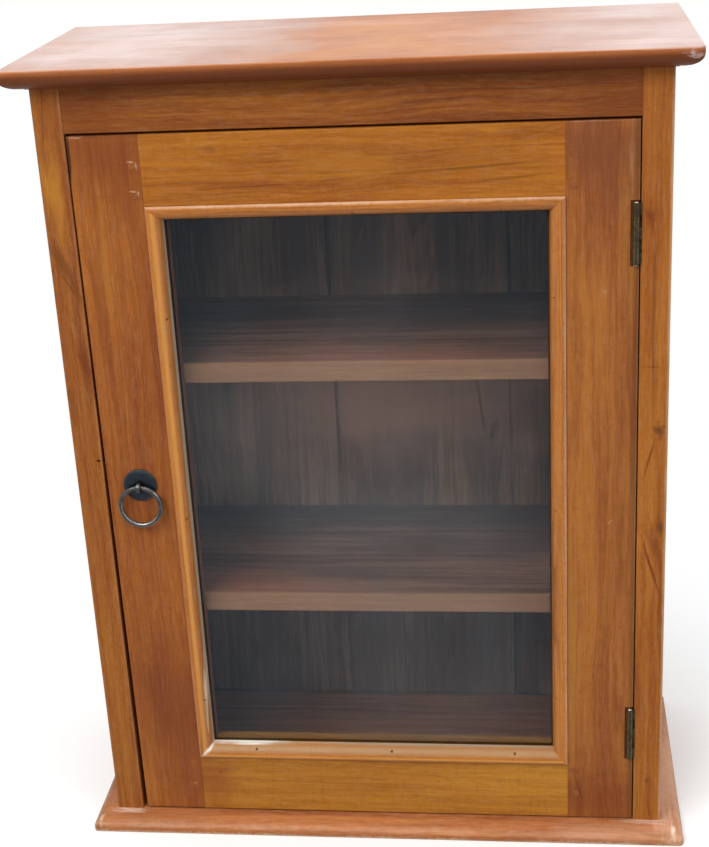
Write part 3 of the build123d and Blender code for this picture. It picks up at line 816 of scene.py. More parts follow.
@dataclass(frozen=True)
class MetalFinish(Finish):
    """Old metal: a bright base under tarnish, with worn edges and fine scratches."""

    name: str
    bright: Colour = paint(170, 150, 110)
    tarnish: Colour = paint(80, 72, 56)
    shine: Colour = paint(215, 205, 190)
    cover: float = 0.7
    cover_thin: float = 0.7
    rough: float = 0.38
    use_dull: float = 0.25
    metallic: float = 1.0
    use_size: float = 0.004
    specks: float = 0.5
    wear: float = 0.5
    wear_patches: float = 0.8
    wear_shine: float = 0.12
    scratched: float = 0.3
    relief: float = 0.00008
    relief_strength: float = 0.5
    seed: float = 1.0

    def wire(self, graph: Graph, place: Socket) -> Socket:
        """Build the shader.

        Args:
            graph: the material's tree.
            place: place on the piece, in metres.

        Returns:
            The shader.
        """
        use = self.use(graph, place)
        worn = ROUND.place(
            graph, {"Vector": place, "Patches": self.wear_patches, "Seed": self.seed})
        thin = self.cover * self.cover_thin
        cover = graph.remap(use["Clouds"], 0.0, 1.0, thin, self.cover)
        colour = graph.blend(cover, self.bright, self.tarnish)
        bare = graph.math("MAXIMUM", graph.times(worn["Mask"], self.wear),
                          graph.times(use["Scratches"], self.scratched))
        colour = graph.blend(bare, colour, self.shine)
        rough = graph.times(use["Clouds"], self.use_dull, self.rough)
        rough = graph.math("SUBTRACT", rough, graph.times(bare, self.wear_shine), clamp=True)
        return self.surface(graph, colour, rough, use["Height"], {"Metallic": self.metallic})


@dataclass(frozen=True)
class MouldedFinish(Finish):
    """Moulded plastic or pressed ferrite: an even colour with a fine cast texture."""

    name: str
    colour: Colour = paint(196, 188, 170)
    shade: Colour = paint(160, 150, 130)
    speck_shade: float = 0.4
    cloud_shade: float = 0.45
    rough: float = 0.5
    use_dull: float = 0.14
    use_size: float = 0.003
    specks: float = 0.4
    relief: float = 0.00005
    relief_strength: float = 0.4
    seed: float = 1.0

    def wire(self, graph: Graph, place: Socket) -> Socket:
        """Build the shader.

        Args:
            graph: the material's tree.
            place: place on the piece, in metres.

        Returns:
            The shader.
        """
        use = self.use(graph, place)
        share = graph.times(use["Clouds"], self.cloud_shade)
        share = graph.times(use["Specks"], self.speck_shade, share)
        colour = graph.blend(share, self.colour, self.shade)
        rough = graph.times(use["Clouds"], self.use_dull, self.rough)
        return self.surface(graph, colour, rough, use["Height"])


@dataclass(frozen=True)
class PaneFinish(Finish):
    """Old window glass with a thin film of dust, which lets the lamps' light through."""

    name: str
    tint: Colour = paint(206, 210, 214)
    mirror_tint: Colour = (0.42, 0.72, 0.95)
    ior: float = 1.27
    film: float = 1.0
    film_clouds: float = 0.4
    film_rough: float = 0.35
    film_centre: Point = (0.0, -0.0875, 0.30)
    film_reach: Point = (0.27, 1.0, 0.38)
    film_softness: float = 0.95
    use_size: float = 0.12
    specks: float = 0.2
    seed: float = 1.0

    def wire(self, graph: Graph, place: Socket) -> Socket:
        """Build the shader.

        Args:
            graph: the material's tree.
            place: place on the piece, in metres.

        Returns:
            The shader.
        """
        use = self.use(graph, place)
        wiped = Mark(
            Stain.PALE, self.film_centre, self.film_reach, self.film,
            softness=self.film_softness,
        ).mask(graph, place)
        film = graph.times(use["Clouds"], self.film_clouds, 1.0 - self.film_clouds)
        film = graph.times(film, wiped)
        film = graph.times(film, self.film, clamp=True)
        glass = graph.node("BsdfPrincipled", {
            "Base Color": self.tint, "Roughness": 0.0, "Metallic": 0.0, "IOR": self.ior,
            "Transmission Weight": 1.0, "Specular Tint": self.mirror_tint,
            "Coat Weight": film, "Coat Roughness": self.film_rough,
        }).outputs[0]
        clear = graph.node("BsdfTransparent", {"Color": self.tint}).outputs[0]
        shadow = graph.node("LightPath").outputs["Is Shadow Ray"]
        return graph.node("MixShader", {0: shadow, 1: glass, 2: clear}).outputs[0]


# Sub-assemblies


class Assembly:
    """A group of pieces of the cabinet that are dressed together."""

    def dress(self) -> None:
        """Give every piece its finish."""
        raise NotImplementedError

    def coat(self, piece: str, finish: Finish) -> None:
        """Put a finish on a piece of the frame and report it.

        Args:
            piece: the piece's name.
            finish: the finish.
        """
        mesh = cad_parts[piece].data
        material = finish.material()
        if not mesh.materials:
            mesh.materials.append(material)
        for place in range(len(mesh.materials)):
            mesh.materials[place] = material
        log.info("%s: %s", piece, finish.name)

    def board(
        self, piece: str, wood: BoardFinish, *bands: tuple[Colour, float, float],
        **changes: object,
    ) -> None:
        """Change a finish for one board, name it after the board and put it on.

        Args:
            piece: the board's name.
            wood: the finish.
            bands: colour, width and strength of wear, grime or painted shade along all edges
                of the board.
            changes: the values of the finish that differ.
        """
        edges = (*(Edge(*band, *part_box(piece)) for band in bands), *changes.get("edges", ()))
        self.coat(piece, replace(wood, **{"name": piece, **changes, "edges": edges}))


@dataclass
class Carcass(Assembly):
    """The fixed case: moulded boards, side boards, frieze, shelves and back planks."""

    wood: BoardFinish = BoardFinish("case")
    wear: Colour = paint(196, 150, 112)
    ruddy: ClassVar[Colour] = paint(112, 52, 22)
    umber: ClassVar[Colour] = paint(104, 58, 24)
    dust_and_sheen: ClassVar[Colour] = paint(232, 210, 206)
    bare: Colour = paint(224, 200, 166)
    rust: Colour = paint(196, 118, 84)
    soot_and_shade: ClassVar[Colour] = paint(44, 32, 28)
    top_dark_and_shade: Marks = (
        Mark(Stain.DARK, (0.01, 0.017, 0.705), (0.014, 0.004, 0.01), 0.5),
        # painted shade: darkens the top board's nose and underside, which face down
        Mark(Stain.DARK, (0.0, 0.0, 0.69), (FAR, FAR, 0.0147), 0.8, ragged=0.1, softness=0.4,
             tint=paint(92, 42, 18)),
    )
    # painted sheen on the top board: pale patches that stand for the grazing reflection,
    # partly old wax: middle, half length, half width and strength
    sheen: tuple[tuple[float, float, float, float, float], ...] = (
        (-0.21, 0.01, 0.14, 0.16, 0.50),
        (0.26, 0.00, 0.20, 0.24, 0.50),
        (-0.17, 0.045, 0.13, 0.035, 0.40),
        (-0.14, -0.010, 0.10, 0.022, 0.35),
        (-0.22, -0.055, 0.10, 0.018, 0.35),
        (-0.02, 0.070, 0.12, 0.020, 0.25),
        (0.20, 0.060, 0.14, 0.030, 0.35),
        (0.23, -0.085, 0.09, 0.014, 0.40),
    )
    top_wax_and_highlight: Marks = (
        Mark(Stain.GOLD, (0.02, -0.02, UPPER), (0.19, 0.15, 0.003), 0.5, ragged=0.8,
             tint=paint(214, 140, 60)),
        # painted highlight at the right end of the top board's nose
        Mark(Stain.PALE, (0.262, -0.112, 0.7), (0.01, 0.01, 0.005), 0.6, ragged=0.9,
             tint=dust_and_sheen),
        Mark(Stain.POLISH, (-0.22, 0.0, UPPER), (0.32, 0.36, 0.004), 1.0, softness=0.6),
        Mark(Stain.POLISH, (0.29, 0.0, UPPER), (0.3, 0.36, 0.004), 1.0, softness=0.6),
        Mark(Stain.POLISH, (0.0, 0.0, UPPER), (FAR, FAR, 0.004), 0.45),
    )
    base_marks: Marks = (
        Mark(Stain.PALE, (0.21, -0.112, 0.006), (0.08, 0.02, 0.02), 0.4, ragged=0.8,
             tint=paint(200, 150, 118)),
        Mark(Stain.DARK, (-0.21, -0.112, 0.006), (0.08, 0.03, 0.02), 0.45, ragged=0.8,
             tint=paint(146, 88, 52)),
        # painted reflection: pale pink on the base board's right end
        Mark(Stain.PALE, (0.262, -0.04, 0.01), (0.02, 0.16, 0.016), 0.6, ragged=0.9,
             tint=paint(226, 180, 150)),
        # painted highlight on the base board's right front corner
        Mark(Stain.PALE, (0.2615, -0.1085, 0.008), (0.0032, 0.012, 0.012), 0.7, ragged=0.7,
             tint=paint(240, 224, 206)),
        Mark(Stain.PALE, (0.235, -0.1, 0.013), (0.03, 0.004, 0.003), 0.5, ragged=1.0,
             tint=paint(226, 200, 184)),
        Mark(Stain.PALE, (-0.24, -0.101, 0.013), (0.026, 0.004, 0.003), 0.75, ragged=0.8,
             tint=paint(222, 196, 180)),
        # painted shade on the base board's left end
        Mark(Stain.DARK, (-0.268, -0.05, 0.006), (0.014, 0.15, 0.02), 0.65,
             tint=paint(104, 66, 40)),
        # painted highlight on the base board's left front corner
        Mark(Stain.PALE, (-0.263, -0.11, 0.007), (0.003, 0.01, 0.01), 0.6, ragged=0.7,
             tint=paint(226, 204, 176)),
    )
    # marks on front faces: place in x and z, half width, half height, strength and turn
    left_marks: Marks = (
        gold(-0.24, 0.6, 0.012, 0.05, 0.5, ragged=0.8, tint=paint(196, 132, 44)),
        dark(-0.238, 0.54, 0.007, 0.05, 0.65, 0.35, ragged=0.8, swirl=5.0, tint=umber),
        dark(-0.236, 0.525, 0.0014, 0.03, 0.6, 0.5, ragged=0.4, tint=umber),
        dark(-0.23, 0.452, 0.008, 0.05, 0.8, 0.1, ragged=0.8, tint=ruddy),
        dark(-0.246, 0.42, 0.005, 0.03, 0.5, ragged=0.8, tint=umber),
        dark(-0.229, 0.625, 0.004, 0.06, 0.3, ragged=0.9, tint=ruddy),
        dark(-0.2285, 0.3686, 0.0045, 0.0008, 0.6, ragged=0.4, deep=0.01),
    )
    right_marks: Marks = (
        dark(0.2335, 0.571, 0.006, 0.016, 0.75, ragged=1.0, tint=ruddy),
        dark(0.2374, 0.4484, 0.009, 0.0007, 0.6, deep=0.006),
        dark(0.2425, 0.392, 0.007, 0.01, 0.85, ragged=0.9, swirl=3.0, tint=umber, deep=0.012),
        dark(0.2352, 0.368, 0.0016, 0.028, 0.85, -0.26, tint=ruddy, deep=0.008),
        dark(0.245, 0.305, 0.005, 0.01, 0.6, deep=0.008),
        dark(0.2385, 0.266, 0.002, 0.046, 0.9, 0.28, tint=ruddy, deep=0.008),
        dark(0.2415, 0.285, 0.007, 0.036, 0.6, 0.2, ragged=0.8, tint=ruddy, deep=0.008),
        dark(0.2381, 0.0544, 0.004, 0.005, 0.5, swirl=2.0, deep=0.008),
    )
    frieze_marks: Marks = (
        dark(-0.22, 0.67, 0.07, 0.05, 0.45, ragged=0.8, tint=ruddy, face=FRIEZE_FACE),
        dark(0.23, 0.66, 0.09, 0.05, 0.4, ragged=0.8, tint=ruddy, face=FRIEZE_FACE),
        dark(-0.0141, 0.6697, 0.012, 0.005, 0.22, swirl=2.0, face=FRIEZE_FACE),
    )
    plank_marks: Marks = (
        # painted light: brighter middle of the back planks
        Mark(Stain.GOLD, (0.0, BACK, 0.35), (0.26, 0.009, 0.13), 0.85,
             tint=paint(222, 164, 130)),
        # painted shade in the upper left of the back, under the top
        Mark(Stain.DARK, (-0.2, BACK, 0.6), (0.16, 0.009, 0.12), 0.9, ragged=0.6, tint=soot_and_shade),
        Mark(Stain.DARK, (0.101, BACK, 0.305), (0.005, 0.009, 0.016), 0.75, -0.4, ragged=0.9,
             swirl=4.0, tint=soot_and_shade),
        Mark(Stain.DARK, (0.091, BACK, 0.33), (0.0025, 0.009, 0.06), 0.6, 0.12, tint=soot_and_shade),
        Mark(Stain.DARK, (0.108, BACK, 0.27), (0.0025, 0.009, 0.05), 0.6, -0.12, tint=soot_and_shade),
    )
    # each back plank's side and the middle of its log
    planks: tuple[tuple[str, float], ...] = (
        ("left", -0.14), ("middle", 0.035), ("right", 0.18))

    def dress(self) -> None:
        """Give every piece its finish."""
        self.dress_boards()
        self.dress_sides()
        self.dress_frieze()
        self.dress_inside()
        self.dress_fixings()

    def dress_boards(self) -> None:
        """Finish the moulded top board and base board."""
        moulded = replace(
            self.wood, grain=Grain.SIDEWAYS, pale=paint(190, 112, 56),
            deep=paint(150, 80, 36), rough=0.42, gloss=0.10, gloss_rough=0.22)
        sheen = (
            Mark(Stain.PALE, (x, y, UPPER), (long, wide, 0.003), strength, ragged=0.7,
                 tint=self.dust_and_sheen)
            for x, y, long, wide, strength in self.sheen
        )
        self.board(
            "top_board", moulded, pith=(0.0, 0.05, 0.60), taper=0.05, seed=3.1,
            ring_width=0.006, rough=0.40, mirror=0.16, gloss=0.04, gloss_rough=0.15,
            marks=(*self.top_dark_and_shade, *sheen, *self.top_wax_and_highlight))
        low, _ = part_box("base_board")
        self.board(
            "base_board", moulded, (self.wear, 0.003, 0.4), pith=(0.1, 0.02, -0.12),
            taper=0.04, seed=7.7, crest=0.22, haze=0.16, rings=0.55, streaks=0.45,
            fibre=0.6, ripple=0.06, pale=paint(194, 122, 66), deep=paint(146, 82, 46),
            edges=(Edge(self.bare, 0.003, 0.6, low, (FAR, FAR, FAR), patches=0.9),),
            marks=self.base_marks)

    def dress_sides(self) -> None:
        """Finish the two side boards."""
        side = replace(self.wood, ring_width=0.005, pale=paint(178, 112, 40))
        self.board(
            "side_panel_left", side, (self.wear, 0.002, 0.3), name="side_left",
            pith=(-0.31, 0.0, 0.0), taper=0.06, seed=11.3, pale=paint(168, 104, 38),
            deep=paint(126, 62, 22), rings=0.7, marks=self.left_marks)
        # the pale band along the right board's outer edges is partly worn bare wood and partly
        # painted highlight from light on the right
        (_, *low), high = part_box("side_panel_right")
        self.board(
            "side_panel_right", side, name="side_right", pith=(0.33, -0.02, 0.0),
            taper=0.05, seed=17.9, marks=self.right_marks,
            edges=(Edge(self.bare, 0.0026, 0.50, (-FAR, *low), high, 0.2, 0.5),))

    def dress_frieze(self) -> None:
        """Finish the rail above the door and the dowels of the top board."""
        self.board(
            "frieze_rail", self.wood, name="frieze", grain=Grain.SIDEWAYS,
            pith=(0.0, 0.0, 0.55), taper=0.03, seed=23.3, pale=paint(166, 100, 30),
            deep=paint(116, 56, 18), ring_width=0.008, marks=self.frieze_marks)
        self.board("top_dowels", self.wood, name="dowels", seed=29.0)

    def dress_inside(self) -> None:
        """Finish the shelves and the back planks."""
        inside = replace(
            self.wood, pale=paint(188, 142, 106), deep=paint(114, 80, 58), rough=0.6,
            gloss=0.0, fibre=0.60, streaks=0.28, clouds=0.7)
        shelf = replace(inside, grain=Grain.SIDEWAYS, taper=0.04, pale=paint(184, 130, 96),
                        deep=paint(112, 74, 54), streaks=0.5)
        for piece, pith, seed, top, shade, glow in (
            ("shelf_upper", (0.0, 0.03, 0.36), 31.7, 0.448, 0.0, 0.0),
            ("shelf_lower", (0.1, 0.0, 0.15), 37.9, 0.229, 0.55, -0.15),
        ):
            self.board(piece, shelf, pith=pith, seed=seed, marks=(
                Mark(Stain.GOLD, (glow, -0.074, top), (0.19, 0.075, 0.004), 0.45,
                     ragged=0.9, tint=self.rust),
                # painted shade: darker band at the back of the shelf
                Mark(Stain.DARK, (0.0, 0.108, top), (FAR, 0.10, 0.004), shade,
                     ragged=0.4, tint=self.soot_and_shade),
                Mark(Stain.GOLD, (0.0, -0.074, top - 0.009), (FAR, 0.004, 0.03), 0.45,
                     ragged=0.2, softness=0.5, tint=paint(206, 150, 104)),
            ))
        for number, (side, middle) in enumerate(self.planks):
            self.board(
                f"back_board_{side}", inside, (self.soot_and_shade, 0.004, 0.8), name=f"back_{side}",
                pith=(middle, 0.19, 0.0), taper=0.06, seed=41.3 + 3.1 * number,
                marks=self.plank_marks)

    def dress_fixings(self) -> None:
        """Finish the screws and nails that hold the case."""
        steel = MetalFinish("fixing_steel", paint(150, 150, 150), paint(92, 90, 88))
        for piece in ("base_screws", "back_nails"):
            self.coat(piece, steel)


@dataclass
class Door(Assembly):
    """The framed door: two stiles, two rails, their pegs, the pane and its beads."""

    wood: BoardFinish = BoardFinish("door")
    wear: Colour = paint(206, 176, 148)
    grime_and_shade: Colour = paint(58, 30, 16)
    ruddy: ClassVar[Colour] = paint(112, 50, 22)
    mauve: ClassVar[Colour] = paint(116, 62, 38)
    seam: ClassVar[Colour] = paint(96, 54, 24)
    crest_highlight: ClassVar[Colour] = paint(222, 158, 80)
    putty: ClassVar[Colour] = paint(150, 146, 130)
    # white is the colour of the painted highlights on the beads
    white: ClassVar[Colour] = paint(238, 230, 218)
    # marks on front faces: place in x and z, half width, half height, strength and turn
    peg_wax: ClassVar[Marks] = (
        pale(-0.1742, 0.6274, 0.004, 0.001, 0.65, ragged=0.8, deep=0.01),
        pale(-0.1699, 0.6238, 0.001, 0.004, 0.65, ragged=0.8, deep=0.01),
        pale(-0.1746, 0.6033, 0.0038, 0.0011, 0.55, ragged=0.8, deep=0.01),
        pale(-0.1702, 0.6014, 0.001, 0.003, 0.55, ragged=0.8, deep=0.01),
        pale(-0.174, 0.0424, 0.003, 0.0008, 0.2, deep=0.01),
        pale(0.1752, 0.6273, 0.003, 0.0008, 0.15, deep=0.01),
    )
    latch_marks: Marks = (
        # painted shadow of the frieze on the latch stile's top corner, partly wear
        dark(-0.2245, 0.634, 0.003, 0.026, 0.9, ragged=0.2, softness=0.5,
             tint=paint(36, 18, 14)),
        pale(-0.217, 0.648, 0.008, 0.0016, 0.6, deep=0.01),
        gold(-0.205, 0.53, 0.01, 0.06, 0.3, ragged=0.7, tint=paint(168, 108, 44)),
        dark(-0.19, 0.625, 0.05, 0.07, 0.62, ragged=0.7, tint=ruddy),
        dark(-0.212, 0.5, 0.007, 0.11, 0.3, ragged=0.9, tint=ruddy),
        dark(-0.166, 0.42, 0.014, 0.26, 0.28, ragged=0.9, tint=ruddy),
        dark(-0.194, 0.336, 0.018, 0.03, 0.35, ragged=0.7, tint=ruddy),
        dark(-0.186, 0.11, 0.06, 0.17, 0.62, ragged=0.8, tint=paint(108, 50, 30)),
        *peg_wax,
    )
    hinge_marks: Marks = (
        dark(0.195, 0.62, 0.06, 0.065, 0.62, ragged=0.8, tint=mauve),
        dark(0.214, 0.3, 0.016, 0.3, 0.22, ragged=0.9, tint=mauve),
        gold(0.19, 0.5, 0.024, 0.07, 0.45, ragged=0.8),
        gold(0.172, 0.18, 0.007, 0.16, 0.45, ragged=0.6, tint=paint(166, 116, 50)),
        dark(0.192, 0.03, 0.07, 0.06, 0.55, ragged=0.8, tint=ruddy),
        pale(0.2185, 0.61, 0.0024, 0.04, 0.14, ragged=2.0, deep=0.01),
        dark(0.1748, 0.624, 0.006, 0.006, 0.3, tint=mauve, deep=0.01),
        dark(0.1748, 0.6, 0.006, 0.006, 0.3, tint=mauve, deep=0.01),
        pale(0.1986, 0.512, 0.003, 0.005, 0.15, ragged=1.6, deep=0.01),
        dark(0.2243, 0.33, 0.0062, FAR, 0.62, ragged=0.3, tint=seam, deep=0.01),
        pale(0.2039, 0.3106, 0.004, 0.0006, 0.5, 0.9, deep=0.006),
        dark(0.1782, 0.0442, 0.0014, 0.022, 0.55, 0.26, deep=0.01),
        dark(0.173, 0.0635, 0.006, 0.005, 0.3, deep=0.01),
        dark(0.174, 0.0395, 0.006, 0.005, 0.3, deep=0.01),
    )
    top_rail_marks: Marks = (
        dark(0.0946, 0.6155, 0.085, 0.0019, 0.55, 0.055, ragged=0.35, deep=0.01),
        dark(0.125, 0.6063, 0.05, 0.0018, 0.45, 0.085, ragged=0.35, deep=0.01),
        dark(-0.06, 0.6245, 0.06, 0.0014, 0.35, 0.033, ragged=0.35, deep=0.01),
        dark(-0.08, 0.605, 0.055, 0.0012, 0.45, 0.03, ragged=0.35, deep=0.01),
        dark(0.05, 0.6285, 0.05, 0.0012, 0.25, 0.03, deep=0.01),
        dark(-0.1089, 0.6352, 0.008, 0.005, 0.3, deep=0.01),
        gold(0.0, 0.62, 0.07, 0.02, 0.4, ragged=0.8, tint=paint(188, 124, 40), deep=0.01),
        gold(0.11, 0.6442, 0.012, 0.0035, 0.8, deep=0.01),
    )
    bottom_rail_marks: Marks = (
        dark(-0.1486, 0.0545, 0.003, 0.003, 0.5, deep=0.01),
        dark(-0.16, 0.045, 0.04, 0.055, 0.6, ragged=0.7, tint=paint(136, 70, 32)),
    )
    # painted highlight on the mitre of the bottom left bead corner
    mitre_highlight: ClassVar[Mark] = pale(
        -0.158, 0.079, 0.0105, 0.0026, 0.9, 0.785, ragged=0.6, tint=white, face=BEAD_FACE)
    left_bead_marks: Marks = (
        # painted highlight on the crest of the left bead
        gold(-0.1605, 0.33, 0.003, FAR, 0.55, ragged=0.3, tint=crest_highlight, face=BEAD_FACE),
        # painted shadow along the left bead's outer edge, where it stands proud
        dark(-0.1664, 0.33, 0.0018, FAR, 0.45, tint=mauve, face=BEAD_FACE),
        Mark(Stain.PALE, (-0.1537, -0.0905, 0.33), (0.0045, 0.0048, 0.4), 0.8, softness=0.5,
             tint=paint(176, 168, 148)),
        Mark(Stain.PALE, (-0.1557, -0.0955, 0.137), (0.0016, 0.012, 0.048), 0.8, -0.025,
             ragged=1.0, tint=paint(232, 212, 182)),
        mitre_highlight,
    )
    bottom_bead_marks: Marks = (
        Mark(Stain.DARK, (0.0, -0.0935, 0.08), (FAR, 0.02, 0.0044), 0.8, ragged=0.4,
             tint=paint(158, 128, 92)),
        # painted highlight on the crest of the bottom bead
        gold(0.0, 0.0738, FAR, 0.002, 0.55, ragged=0.3, tint=crest_highlight, face=BEAD_FACE),
        # painted highlight on the upward slope of the bottom bead
        Mark(Stain.PALE, (-0.125, -0.092, 0.0838), (0.055, 0.02, 0.0018), 0.95, ragged=0.4,
             softness=0.6, tint=white),
        Mark(Stain.PALE, (0.05, -0.0905, 0.0835), (0.3, 0.003, 0.003), 0.7, tint=putty),
        mitre_highlight,
    )

    def dress(self) -> None:
        """Give every piece its finish."""
        self.dress_stiles()
        self.dress_rails()
        self.dress_beads()
        self.coat("glass_pane", PaneFinish("pane_glass"))

    def dress_stiles(self) -> None:
        """Finish the two upright boards of the frame and the pegs."""
        # the dark band along the latch stile's edges is grime and painted shade at its joints
        # and gap
        self.board(
            "door_stile_latch", self.wood, (self.grime_and_shade, 0.002, 0.4), name="stile_latch",
            pith=(-0.30, -0.01, 0.0), seed=53.1, pale=paint(174, 104, 38),
            deep=paint(128, 64, 26), streaks=0.38, rings=0.35, marks=self.latch_marks)
        self.board(
            "door_stile_hinge", self.wood, (self.wear, 0.0012, 0.25), name="stile_hinge",
            pith=(0.36, -0.03, 0.0), taper=0.015, seed=59.7, ring_width=0.0032,
            pale=paint(178, 112, 46), deep=paint(136, 74, 32), rings=0.4, streaks=0.4,
            mottle=0.42, marks=self.hinge_marks)
        self.board(
            "door_pegs", self.wood, name="pegs", grain=Grain.FRONT_TO_BACK, seed=61.0,
            pale=paint(156, 92, 40), deep=paint(126, 68, 30), crest=0.08,
            marks=self.peg_wax)

    def dress_rails(self) -> None:
        """Finish the top and bottom rails."""
        rail = replace(self.wood, grain=Grain.SIDEWAYS, pale=paint(182, 114, 30),
                       deep=paint(140, 74, 20), ring_width=0.008, rings=0.45)
        self.board(
            "door_rail_top", rail, name="rail_top", pith=(0.1, -0.02, 0.42), taper=0.03,
            seed=67.3, marks=self.top_rail_marks)
        self.board(
            "door_rail_bottom", rail, name="rail_bottom", pith=(-0.05, 0.02, 0.01),
            taper=0.06, seed=71.9, pale=paint(192, 132, 44), deep=paint(150, 88, 26),
            ring_width=0.006, marks=self.bottom_rail_marks)

    def dress_beads(self) -> None:
        """Finish the four glazing beads and their pins."""
        bead = replace(
            self.wood, pale=paint(196, 124, 46), deep=paint(154, 82, 30), crest=0.10,
            ring_width=0.0035, rough=0.40, clouds=0.25, mottle=0.25)
        for piece, grain, pith, side, wax, gloss, marks in (
            ("bead_top", Grain.SIDEWAYS, (0.0, -0.02, 0.45), (0, -1, 1), 0.85, 0.30, ()),
            ("bead_bottom", Grain.SIDEWAYS, (0.0, -0.03, -0.10), (0, -1, -1), 0.30, 0.06,
             self.bottom_bead_marks),
            ("bead_left", Grain.UPRIGHT, (-0.30, -0.02, 0.0), (-1, -1, 0), 0.08, 0.30,
             self.left_bead_marks),
            ("bead_right", Grain.UPRIGHT, (0.30, -0.02, 0.0), (1, -1, 0), 0.60, 0.30, ()),
        ):
            # only the outer front edge keeps its wax; this pale band is also painted
            # highlight, strongest on the top and right beads
            low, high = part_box(piece)
            low = tuple(c if s < 0 else -FAR for c, s in zip(low, side))
            high = tuple(c if s > 0 else FAR for c, s in zip(high, side))
            self.board(
                piece, bead, grain=grain, pith=pith, seed=73.0 + len(piece) * 3.3,
                gloss=gloss, marks=marks,
                edges=(Edge(self.wear, 0.0026, wax, low, high, 0.5, 0.5),))
        self.coat("bead_pins", MetalFinish(
            "bead_pins", paint(70, 62, 56), paint(30, 26, 24), rough=0.6))


@dataclass
class Hardware(Assembly):
    """Hinges, ring pull and magnetic catch."""

    hinge: MetalFinish = MetalFinish(
        "hinge_brass", paint(100, 90, 64), paint(50, 44, 32), paint(150, 142, 116),
        rough=0.40, cover=0.92, wear=0.3, scratched=0.18)
    # the pins' bright steel is partly painted highlight on their top caps
    pin: MetalFinish = MetalFinish(
        "hinge_pin", paint(214, 210, 196), paint(150, 142, 120), paint(240, 238, 230),
        rough=0.28, cover=0.4)
    plate: MetalFinish = MetalFinish(
        "pull_plate", paint(36, 50, 60), paint(12, 20, 28), paint(150, 156, 158),
        rough=0.26, cover=0.95, metallic=0.6, scratched=0.0)
    pull: MetalFinish = MetalFinish(
        "pull_iron", paint(98, 96, 94), paint(46, 46, 48), paint(196, 194, 190),
        rough=0.28, cover=0.85, metallic=0.9)
    steel: MetalFinish = MetalFinish(
        "catch_steel", paint(182, 182, 182), paint(130, 130, 128), paint(220, 220, 220),
        rough=0.30, cover=0.6)
    plastic: MouldedFinish = MouldedFinish("catch_plastic")
    ferrite: MouldedFinish = MouldedFinish(
        "magnet_ferrite", paint(60, 60, 62), paint(40, 40, 42), rough=0.6)

    def dress(self) -> None:
        """Give every piece its finish."""
        for finish, pieces in (
            (self.hinge, (
                "hinge_lower_side_leaf", "hinge_upper_side_leaf", "hinge_lower_door_leaf",
                "hinge_upper_door_leaf", "hinge_screws_side", "hinge_screws_door")),
            (self.pin, ("hinge_pins",)),
            (self.plate, ("pull_backplate",)),
            (self.pull, ("pull_eye", "pull_ring")),
            (self.steel, (
                "pull_washer", "pull_nut", "catch_strike_plate", "catch_strike_screws",
                "catch_screws", "catch_pole_plates")),
            (self.plastic, ("catch_housing",)),
            (self.ferrite, ("catch_magnet",)),
        ):
            for piece in pieces:
                self.coat(piece, finish)


# Studio


@dataclass
class Lamp:
    """One soft box: where it hangs, how large it is in metres and how strong in watts."""

    name: str
    place: Point
    target: Point
    width: float
    depth: float
    watts: float

    def hang(self) -> None:
        """Make the lamp and aim it."""
        light = bpy.data.lights.new(self.name, "AREA")
        light.shape = "RECTANGLE"
        light.size = self.width
        light.size_y = self.depth
        light.energy = self.watts
        lamp = bpy.data.objects.new(self.name, light)
        bpy.context.scene.collection.objects.link(lamp)
        lamp.location = self.place
        aim = Vector(self.target) - Vector(self.place)
        lamp.rotation_euler = aim.to_track_quat("-Z", "Y").to_euler()
        log.info("%s: %.0f W", self.name, self.watts)


